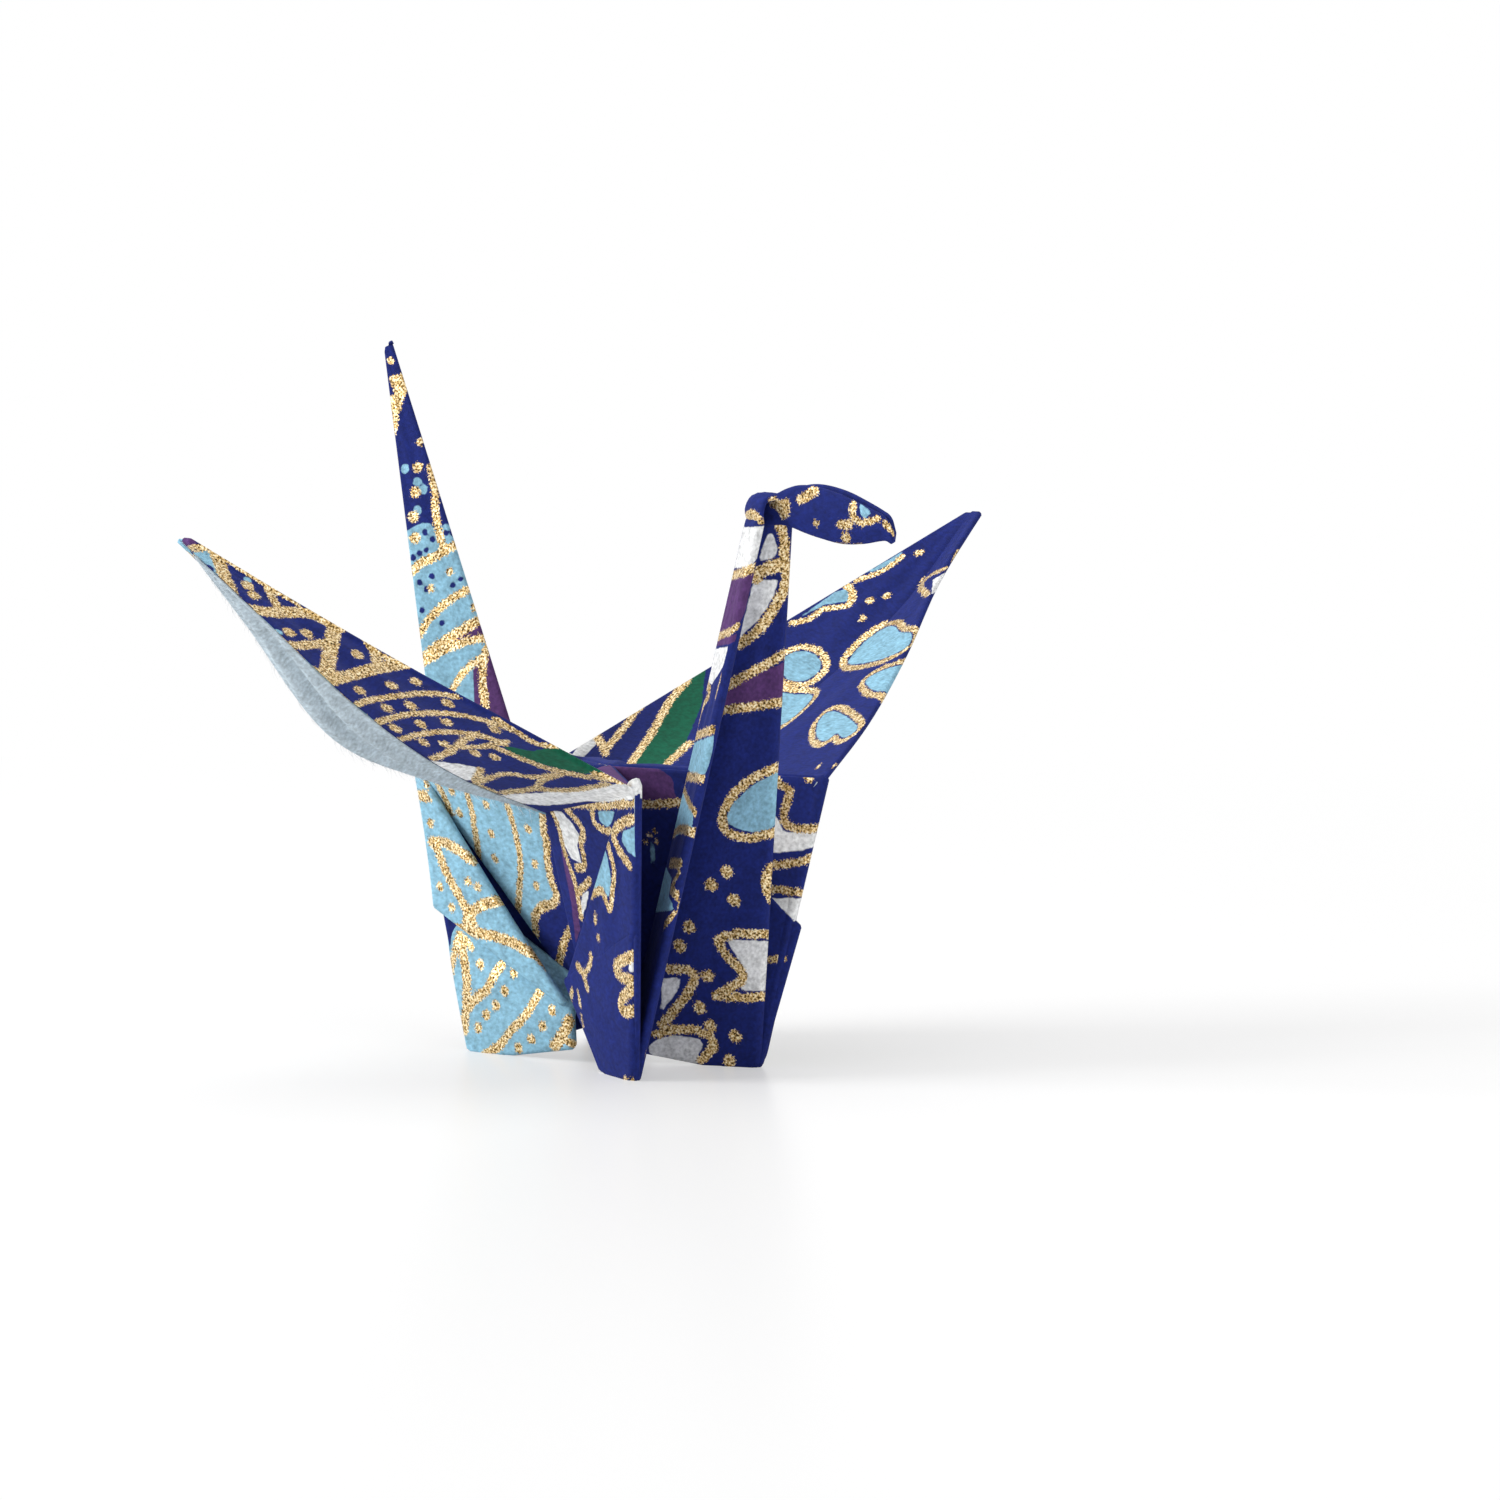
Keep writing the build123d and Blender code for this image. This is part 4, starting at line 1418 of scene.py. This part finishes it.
    def cuff(self) -> Leaf:
        """Return the end of the lower neck flap, turned in over the gusset."""
        foot, corner = PLAN.foot(self.side, True), PLAN.corner(self.side, True)
        spine, hump = PLAN.spine(True), PLAN.hump()
        mirror = np.array((self.side, 1.0, 1.0))
        peak = foot + unit(corner - foot) * PLAN.second_flap + mirror * self.cuff_peak
        inner = [
            toward(toward(foot, corner, rise), toward(spine, hump, rise), self.cuff_width)
            for rise in self.cuff_rises
        ]
        outer = [peak, foot + mirror * self.cuff_foot]
        return Leaf(side_of("cuff", self.side), outer, inner, (0.0, -1.0, 0.0), (self.gusset,) * 2,
                    CUFF_PRINT, DARK_FACE, lift=self.cuff_lift, rounded=(0.0, self.edge_round), seed=12)


# The directions in which the neck's left and right walls show their front
NECK_FACINGS = {-1: (-1.0, 0.4, 0.0), 1: (-0.5, -0.9, 0.0)}


@dataclass
class Neck(Assembly):
    """The neck: a leg folded to a V, with its spine towards the body."""

    name: str = "neck"
    wall: float = 0.5  # mm
    length: float = 28.1
    lean: float = 22.6  # degrees
    aside: float = -1.8
    width: float = 1.85
    spread: float = 41.0
    turn: float = 20.0
    foot_round: float = 0.5  # mm
    spine_drop: float = 1.1  # the walls' bottom edges, below the spine's foot

    def nape(self) -> Array:
        """Return the top of the spine."""
        return PLAN.spine(True) + leaning(self.length, -self.lean, self.aside)

    def throat(self, side: int) -> Array:
        """Return the top of an open edge."""
        return self.nape() + level(self.turn + side * self.spread) * self.width

    def fold(self) -> list[Leaf]:
        """Return the two walls."""
        far = [PLAN.spine(True) - np.array((0, 0, self.spine_drop)), self.nape()]
        prints = {-1: (NECK_OUTER_PRINT, DARK_FACE), 1: (NECK_INNER_PRINT, None)}
        walls = []
        for side, facing in NECK_FACINGS.items():
            near = [PLAN.foot(side, True), self.throat(side)]
            edges = (Edge.CUT if side < 0 else Edge.FOLD, Edge.CUT, Edge.FOLD, Edge.CUT)
            walls.append(Leaf(
                side_of("wall", side), near, far, facing, (self.wall,) * 2, *prints[side], edges,
                rounded=(self.foot_round, 0.0), seed=20 + side))
        return walls


@dataclass(frozen=True)
class Section:
    """One section of the head, in mm.

    It has its reach in front of the throat, its spine's drop, its depth and its half width.
    """

    reach: float
    drop: float
    depth: float
    half: float


@dataclass
class Head(Assembly):
    """The head: the neck's end folded down, its spine below and its mouth above, and the knot at the fold."""

    name: str = "head"
    neck: Neck = None
    wall: float = 0.3  # mm
    turn: float = 11.0  # degrees
    crown: float = 1.25  # mm, top of the knot above the throat
    wall_puff: float = 0.15
    knot_puff: float = 0.12
    crest_reach: float = 0.3  # the knot's crest, in front of the throat
    crest_lap: float = 0.35  # how far its open edges run on past the crest
    edge_rises: Point = (0.5, 0.9)  # where the open edges bend, as shares of the crown's height
    edge_lean: float = 0.3  # share of the way to the crest that the second bend leans in
    nape_bends: tuple[Point, Point] = ((0.5, -0.15), (0.98, 0.35))  # the spine's, and mm towards the beak
    sections: tuple[Section, ...] = (
        Section(-0.5, 0.1, 1.25, 0.25),
        Section(0.3, -0.05, 1.2, 0.3),
        Section(1.15, 0.05, 1.62, 0.4),
        Section(2.0, 0.28, 2.06, 0.45),
        Section(3.0, 0.5, 2.27, 0.45),
        Section(4.3, 0.7, 2.22, 0.45),
        Section(5.6, 0.65, 1.74, 0.38),
        Section(6.6, 0.48, 1.2, 0.28),
        Section(7.1, 0.44, 0.9, 0.2),
        Section(7.45, 0.58, 0.4, 0.08),
    )

    def fold(self) -> list[Leaf]:
        """Return the two walls and the knot."""
        throat = (self.neck.throat(-1) + self.neck.throat(1)) / 2
        forward, aside = level(self.turn), level(self.turn + 90)
        spines, edges = [], {-1: [], 1: []}
        for cut in self.sections:
            spine = throat + forward * cut.reach - np.array((0, 0, cut.drop))
            spines.append(spine)
            for side in edges:
                edges[side].append(spine + aside * side * cut.half + np.array((0, 0, cut.depth)))
        prints = {-1: CHEEK_PRINT, 1: FAR_CHEEK_PRINT}
        forms = (Edge.FOLD, Edge.CUT, Edge.FOLD, Edge.CUT)
        walls = [
            Leaf(side_of("wall", side), edges[side], spines, tuple(aside * side), (self.wall,) * 2,
                 prints[side], DARK_FACE, forms, puff=self.wall_puff, seed=30 + side)
            for side in edges
        ]
        return walls + self.knot(throat, forward)

    def knot(self, throat: Array, forward: Array) -> list[Leaf]:
        """Return the two neck walls' ends, which close over the fold and turn into the head."""
        up, nape = np.array((0, 0, self.crown)), self.neck.nape()
        crest = throat + up + forward * self.crest_reach
        bends = [nape + up * rise + forward * reach for rise, reach in self.nape_bends]
        forms = (Edge.FOLD, Edge.FOLD, Edge.FOLD, Edge.JOINT)
        leaves = []
        for side, facing in NECK_FACINGS.items():
            start = self.neck.throat(side)
            first, second = (start + up * rise for rise in self.edge_rises)
            near = [start, first, toward(second, crest, self.edge_lean), crest + forward * self.crest_lap]
            leaves.append(Leaf(side_of("knot", side), near, [nape, *bends, crest], facing, (self.wall,) * 2,
                               KNOT_PRINT, DARK_FACE, forms, puff=self.knot_puff, seed=35 + side))
        return leaves


@dataclass
class Tail(Assembly):
    """The tail: a leg folded to a V that narrows to a point."""

    name: str = "tail"
    root: float = 0.5  # mm, thicknesses
    tip: float = 0.22
    length: float = 37.4
    lean: float = 26.0  # degrees
    aside: float = -1.7
    point: float = 0.4  # mm, wall left at the tip
    tuck: float = 0.12  # the right wall's fold edge, inside the left one's

    def fold(self) -> list[Leaf]:
        """Return the two walls."""
        spine = PLAN.spine(False)
        end = spine + leaning(self.length, self.lean, self.aside)
        forms = (Edge.CUT, Edge.CUT, Edge.FOLD, Edge.CUT)
        walls = []
        for side in (-1, 1):
            foot = PLAN.foot(side, False)
            out = unit(foot - spine)
            inside = out * (self.tuck if side > 0 else 0.0)
            near = [foot, end + out * self.point]
            walls.append(Leaf(
                side_of("wall", side), near, [spine + inside, end + inside], (side, -0.6, 0.0),
                (self.root, self.tip), TAIL_OUTER_PRINT if side < 0 else None, None, forms,
                rounded=(0.0, self.point), seed=40 + side))
        return walls


@dataclass
class Wing(Assembly):
    """A wing: two halves that dip to a middle line, folded from the side panel's top."""

    side: int = 1
    name: str = "right_wing"
    rise: float = 33.0  # degrees
    length: float = 25.0  # mm
    sweep: float = 3.8  # degrees
    cup: tuple[float, float, float] = (0.6, 1.3, 1.2)  # mm
    droop: tuple[float, float, float] = (0.7, 0.8, 0.2)
    pinch: tuple[float, float, float] = (0.2, 0.45, 0.4)
    point: float = 0.5
    neck_thick: float = 0.3
    tail_thick: float = 0.15

    def run(self) -> Array:
        """Return the direction of the fold, from the neck's end to the tail's."""
        return unit(PLAN.corner(self.side, False) - PLAN.corner(self.side, True))

    def end(self) -> Array:
        """Return the wing's tip."""
        rise, sweep = math.radians(self.rise), math.radians(self.sweep)
        out, up = self.length * math.cos(rise), self.length * math.sin(rise)
        return PLAN.fold(self.side) + np.array((self.side * out * math.cos(sweep), out * math.sin(sweep), up))

    def down(self) -> Array:
        """Return the direction square to the wing, below it."""
        return unit(np.cross(self.end() - PLAN.fold(self.side), self.run())) * -self.side

    def between(self, start: Array, end: Array, sags: tuple[float, float, float]) -> list[Array]:
        """Return a line from start to end that sags at its quarter points."""
        inner = [toward(start, end, (i + 1) / 4) + self.down() * sag for i, sag in enumerate(sags)]
        return [start, *inner, end]

    def lines(self) -> tuple[list[Array], list[Array], list[Array]]:
        """Return the neck-side edge, the middle line and the tail-side edge."""
        end, tip = self.end(), self.run() * self.point
        neck = self.between(PLAN.corner(self.side, True), end - tip, self.droop)
        return (
            [point + self.run() * pinch for point, pinch in zip(neck, (0, *self.pinch, 0))],
            self.between(PLAN.fold(self.side), end, self.cup),
            self.between(PLAN.corner(self.side, False), end + tip, (0, 0, 0)),
        )

    def fold(self) -> list[Leaf]:
        """Return the two halves."""
        neck, middle, tail = self.lines()
        up = tuple(-self.down())
        forms = (Edge.FOLD, Edge.CUT, Edge.JOINT, Edge.JOINT)
        return [
            Leaf(name, edge, middle, up, (thick, thick), WING_TOP_PRINT, None, forms, seed=seed)
            for name, edge, thick, seed in (
                ("neck_half", neck, self.neck_thick, 50), ("tail_half", tail, self.tail_thick, 51),
            )
        ]


@dataclass
class LooseWing(Wing):
    """The left wing, whose tail-side half hangs open underneath and shows the paper's bare back."""

    side: int = -1
    name: str = "left_wing"
    rise: float = 34.6
    length: float = 25.3
    cup: tuple[float, float, float] = (1.3, 1.4, 0.7)
    droop: tuple[float, float, float] = (0.1, 0.22, 0.18)
    pinch: tuple[float, float, float] = (0.0, 0.0, 0.0)
    drop: tuple[float, float, float] = (2.9, 3.7, 1.0)  # mm, the torn edge below its hinge
    reach: tuple[float, float, float] = (6.2, 2.5, 0.3)  # and towards the neck
    under: float = 0.09  # the hinge, below the tail half's edge
    slack: float = 0.16  # gap under the wing's middle line
    loose_thick: float = 0.12
    wave: float = 0.03  # the same in the tail half and the loose half under it
    edge_wave: float = 0.1  # towards the torn edge
    edge_facing: tuple[float, float, float] = (-0.6, -0.8, 0.1)  # there, towards the photograph's viewpoint

    def torn_line(self) -> tuple[list[Array], list[Array]]:
        """Return the loose half's hinge and its torn edge."""
        _, middle, tail = self.lines()
        below = self.down() * self.under
        hinge = [point + below for point in tail]
        falls = [np.array((0, reach, drop)) for reach, drop in zip(self.reach, self.drop)]
        torn = [point - fall for point, fall in zip(hinge[1:-1], falls)]
        return hinge, [middle[0] + below, *torn, middle[-1] + below]

    def fold(self) -> list[Leaf]:
        """Return the two halves and the loose half below."""
        neck, middle, tail = self.lines()
        hinge, torn = self.torn_line()
        down = tuple(self.down())
        forms = (Edge.FOLD, Edge.CUT, Edge.JOINT, Edge.JOINT)
        bend = [point + self.down() * self.slack for point in middle]
        thick = (self.loose_thick, self.loose_thick)
        return [
            Leaf("neck_half", neck, middle, down, (self.neck_thick,) * 2, WING_UNDER_PRINT, None, forms,
                 seed=60),
            Leaf("tail_half", tail, middle, tuple(-self.down()), (self.tail_thick,) * 2, None, BARE_FACE,
                 forms, ripple=self.wave, seed=61),
            Leaf("loose_hinge", hinge, bend, down, thick, None, BARE_FACE, forms, ripple=-self.wave, seed=61),
            Leaf("loose_edge", bend, torn, self.edge_facing, thick, BARE_FACE, None,
                 (Edge.JOINT, Edge.CUT, Edge.CUT, Edge.JOINT), ripple=self.edge_wave, seed=63),
        ]


@dataclass(frozen=True)
class Fuzz:
    """Paper fibres that stand out of a torn edge, strewn by Geometry Nodes."""

    name: str = "torn_fibres"
    count: int = 420
    length: float = 0.55  # mm
    radius: float = 0.014
    tip: float = 0.003  # radius at a fibre's end
    stray: float = 0.9  # radians off the edge's own direction
    sizes: Point = (0.25, 1.0)  # least and greatest size of a fibre
    sides: int = 3
    joints: int = 4  # pieces along a fibre, so that it can curl
    seed: int = 7
    colour: Paint = (232, 236, 238)
    shade: int = 30  # how much darker a fibre may be
    cloud: float = 900.0  # per metre
    roughness: float = 0.9
    edge_points: int = 60
    edge_spare: int = 2  # points at each end of the torn edge that stay bare

    def finish(self) -> bpy.types.Material:
        """Return the fibres' pale, dull finish."""
        material = bpy.data.materials.new("paper_fibre")
        material.use_nodes = True
        graph, shader = Shading(material.node_tree), material.node_tree.nodes["Principled BSDF"]
        cloud = graph.new("ShaderNodeTexNoise")
        graph.feed(cloud.inputs["Scale"], self.cloud)
        graph.feed(cloud.inputs["Vector"], graph.spot())
        dark = tuple(part - self.shade for part in self.colour)
        colour = graph.ramp(cloud.outputs["Fac"], (0.0, 1.0), (dark, self.colour))
        graph.feed(shader.inputs["Base Color"], colour)
        graph.feed(shader.inputs["Roughness"], self.roughness)
        return material

    def settings(self) -> dict[str, tuple[str, float]]:
        """Return the strewer's inputs: each one's kind of socket and its value, in metres or radians."""
        return {
            "Count": ("NodeSocketInt", self.count),
            "Length": ("NodeSocketFloat", self.length * MM),
            "Radius": ("NodeSocketFloat", self.radius * MM),
            "Stray": ("NodeSocketFloat", self.stray),
        }

    def tree(self, material: bpy.types.Material) -> bpy.types.NodeTree:
        """Return the node tree that strews fibres along an edge.

        Args:
            material: the fibres' finish.

        Returns:
            A tree with inputs for the count, length, radius and stray of the fibres.
        """
        tree = bpy.data.node_groups.new("fibre_strewer", "GeometryNodeTree")
        face, new = tree.interface, tree.nodes.new
        face.new_socket("Edge", in_out="INPUT", socket_type="NodeSocketGeometry")
        for name, (kind, value) in self.settings().items():
            face.new_socket(name, in_out="INPUT", socket_type=kind).default_value = value
        face.new_socket("Fibres", in_out="OUTPUT", socket_type="NodeSocketGeometry")
        given, made = new("NodeGroupInput"), new("NodeGroupOutput")
        curve, spread = new("GeometryNodeMeshToCurve"), new("GeometryNodeCurveToPoints")
        spread.mode = "COUNT"
        hair, bend = new("GeometryNodeMeshCone"), new("GeometryNodeSetPosition")
        hair.inputs["Vertices"].default_value = self.sides
        hair.inputs["Side Segments"].default_value = self.joints
        hair.inputs["Radius Top"].default_value = self.tip * MM
        spot = new("GeometryNodeInputPosition")
        parts, offset = new("ShaderNodeSeparateXYZ"), new("ShaderNodeCombineXYZ")
        share, curl, low = (new("ShaderNodeMath") for _ in range(3))
        share.operation, curl.operation, low.operation = "DIVIDE", "MULTIPLY", "MULTIPLY"
        low.inputs[1].default_value = -1.0
        outward, aim = new("GeometryNodeInputNamedAttribute"), new("FunctionNodeAlignRotationToVector")
        outward.data_type = "FLOAT_VECTOR"
        outward.inputs["Name"].default_value = "outward"
        aim.axis = "Z"
        turn, size = new("FunctionNodeRandomValue"), new("FunctionNodeRandomValue")
        turn.data_type = "FLOAT_VECTOR"
        turn.inputs["Seed"].default_value = self.seed
        size.inputs[2].default_value, size.inputs[3].default_value = self.sizes
        size.inputs["Seed"].default_value = self.seed + 1
        swing, strew = new("FunctionNodeRotateRotation"), new("GeometryNodeInstanceOnPoints")
        swing.rotation_space = "LOCAL"
        real, paint = new("GeometryNodeRealizeInstances"), new("GeometryNodeSetMaterial")
        paint.inputs["Material"].default_value = material
        for source, output, target, socket in (
            (given, "Edge", curve, "Mesh"), (curve, "Curve", spread, "Curve"),
            (given, "Count", spread, "Count"),
            # One fibre, which curls towards its tip
            (given, "Radius", hair, "Radius Bottom"), (given, "Length", hair, "Depth"),
            (spot, "Position", parts, "Vector"), (parts, "Z", share, 0), (given, "Length", share, 1),
            (share, 0, curl, 0), (parts, "Z", curl, 1), (curl, 0, offset, "X"),
            (hair, "Mesh", bend, "Geometry"), (offset, "Vector", bend, "Offset"),
            # Its direction and size at each point of the edge
            (outward, "Attribute", aim, "Vector"), (given, "Stray", low, 0), (low, 0, turn, "Min"),
            (given, "Stray", turn, "Max"), (aim, "Rotation", swing, "Rotation"),
            (turn, "Value", swing, "Rotate By"),
            (spread, "Points", strew, "Points"), (bend, "Geometry", strew, "Instance"),
            (swing, "Rotation", strew, "Rotation"), (size, 1, strew, "Scale"),
            (strew, "Instances", real, "Geometry"), (real, "Geometry", paint, "Geometry"),
            (paint, "Geometry", made, "Fibres"),
        ):
            tree.links.new(source.outputs[output], target.inputs[socket])
        return tree

    def build(self, wing: LooseWing) -> bpy.types.Object:
        """Return the fibres along the loose half's torn edge.

        Args:
            wing: the wing whose edge is torn.

        Returns:
            The fibres as one plain mesh, riding on the body.
        """
        kept = slice(self.edge_spare, -self.edge_spare)
        hinge, edge = (smooth_line(np.array(line), self.edge_points)[kept] for line in wing.torn_line())
        line = bpy.data.meshes.new("torn_line")
        line.from_pydata((edge * MM).tolist(), [(i, i + 1) for i in range(len(edge) - 1)], [])
        outward = line.attributes.new("outward", "FLOAT_VECTOR", "POINT")
        outward.data.foreach_set("vector", unit(edge - hinge).ravel())
        holder = bpy.data.objects.new("torn_line", line)
        bpy.context.scene.collection.objects.link(holder)
        material = self.finish()
        strewer = holder.modifiers.new("fibres", "NODES")
        strewer.node_group = self.tree(material)
        settings = self.settings()
        for item in strewer.node_group.interface.items_tree:
            if item.in_out == "INPUT" and item.name in settings:
                strewer[item.identifier] = settings[item.name][1]
        graph = bpy.context.evaluated_depsgraph_get()
        mesh = bpy.data.meshes.new_from_object(holder.evaluated_get(graph))
        holder.modifiers.remove(strewer)
        bpy.data.objects.remove(holder)
        mesh.name = self.name
        if not mesh.materials:
            mesh.materials.append(material)
        piece = bpy.data.objects.new(self.name, mesh)
        bpy.context.scene.collection.objects.link(piece)
        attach(piece, BODY)
        LOG.info("%s: %d faces", self.name, len(mesh.polygons))
        return piece


LAMP_AIM = (0.0, 0.0, 0.015)  # metres, the crane's middle


@dataclass(frozen=True)
class Lamp:
    """A soft square light, in metres and watts."""

    name: str
    place: tuple[float, float, float]
    size: float
    power: float

    def hang(self) -> None:
        """Put the light up, aimed at the crane's middle."""
        light = bpy.data.lights.new(self.name, "AREA")
        light.size = self.size
        light.energy = self.power
        lamp = bpy.data.objects.new(self.name, light)
        lamp.location = self.place
        ray = Vector(LAMP_AIM) - Vector(self.place)
        lamp.rotation_euler = ray.to_track_quat("-Z", "Y").to_euler()
        bpy.context.scene.collection.objects.link(lamp)


@dataclass(frozen=True)
class Studio:
    """A white sweep, a pale floor with a faint gloss, and soft lamps."""

    ambient: float = 0.3
    floor_half: float = 3.0  # metres
    floor_white: float = 0.9
    floor_rough: float = 0.3
    floor_gloss: float = 0.25
    near_glow: float = 0.45  # share of the floor's own white by the crane, as the camera sees it
    glow_start: float = 0.02  # metres from the crane's middle where the floor starts to go to plain white
    glow_reach: float = 0.16  # and where it is plain white
    lamps: tuple[Lamp, ...] = (
        Lamp("window", (-0.55, 0.3, 0.35), 0.3, 4.2),
        Lamp("overhead", (0.05, 0.1, 0.7), 0.6, 2.4),
        Lamp("fill", (0.0, -0.6, 0.16), 0.5, 1.45),
    )

    def light(self) -> None:
        """Set the world and the lamps."""
        world = bpy.data.worlds.new("studio")
        bpy.context.scene.world = world
        world.use_nodes = True
        graph, nodes = Shading(world.node_tree), world.node_tree.nodes
        dim, plain = nodes["Background"], graph.new("ShaderNodeBackground")
        graph.feed(dim.inputs["Strength"], self.ambient)
        for background in (dim, plain):
            graph.feed(background.inputs["Color"], WHITE)
        graph.feed(nodes["World Output"].inputs["Surface"], graph.blend(self.seen(graph), dim, plain))
        for lamp in self.lamps:
            lamp.hang()

    def seen(self, graph: Shading) -> Socket:
        """Return a socket that is one on rays from the camera, straight or by a gloss or a clear pane."""
        path = graph.new("ShaderNodeLightPath").outputs
        total = path["Is Camera Ray"]
        for name in ("Is Glossy Ray", "Is Transmission Ray"):
            total = graph.step("MAXIMUM", total, path[name])
        return total

    def floor(self) -> bpy.types.Object:
        """Return the floor, which keeps the crane's shadow and a faint reflection of it."""
        material = bpy.data.materials.new("pale_floor")
        material.use_nodes = True
        graph, nodes = Shading(material.node_tree), material.node_tree.nodes
        shader, glow = nodes["Principled BSDF"], graph.new("ShaderNodeEmission")
        graph.feed(shader.inputs["Base Color"], (*(self.floor_white,) * 3, 1.0))
        graph.feed(shader.inputs["Roughness"], self.floor_rough)
        graph.feed(shader.inputs["Specular IOR Level"], self.floor_gloss)
        away = graph.new("ShaderNodeVectorMath")
        away.operation = "LENGTH"
        graph.feed(away.inputs[0], graph.spot())
        fade = graph.spread(away.outputs["Value"], (self.glow_start, self.glow_reach), (self.near_glow, 1.0))
        share = graph.step("MULTIPLY", self.seen(graph), fade)
        graph.feed(nodes["Material Output"].inputs["Surface"], graph.blend(share, shader, glow))
        half = self.floor_half
        mesh = bpy.data.meshes.new("floor")
        corners = [(-half, -half, 0), (half, -half, 0), (half, half, 0), (-half, half, 0)]
        mesh.from_pydata(corners, [], [(0, 1, 2, 3)])
        mesh.materials.append(material)
        floor = bpy.data.objects.new("floor", mesh)
        bpy.context.scene.collection.objects.link(floor)
        return floor


def main() -> None:
    """Build the crane piece by piece, then the studio and the camera."""
    logging.basicConfig(level=logging.INFO, format="%(message)s")
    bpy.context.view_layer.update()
    paper = Washi().make()
    neck, loose = Neck(), LooseWing()
    for part in (Body(), Body(side=1, name="body_right"), neck, Head(neck=neck), Tail(), loose, Wing()):
        part.build(paper)
    Fuzz().build(loose)
    studio = Studio()
    studio.light()
    studio.floor()
    CAMERA.place()
    bpy.context.scene.view_settings.view_transform = "Standard"


if __name__ == "__main__":
    main()
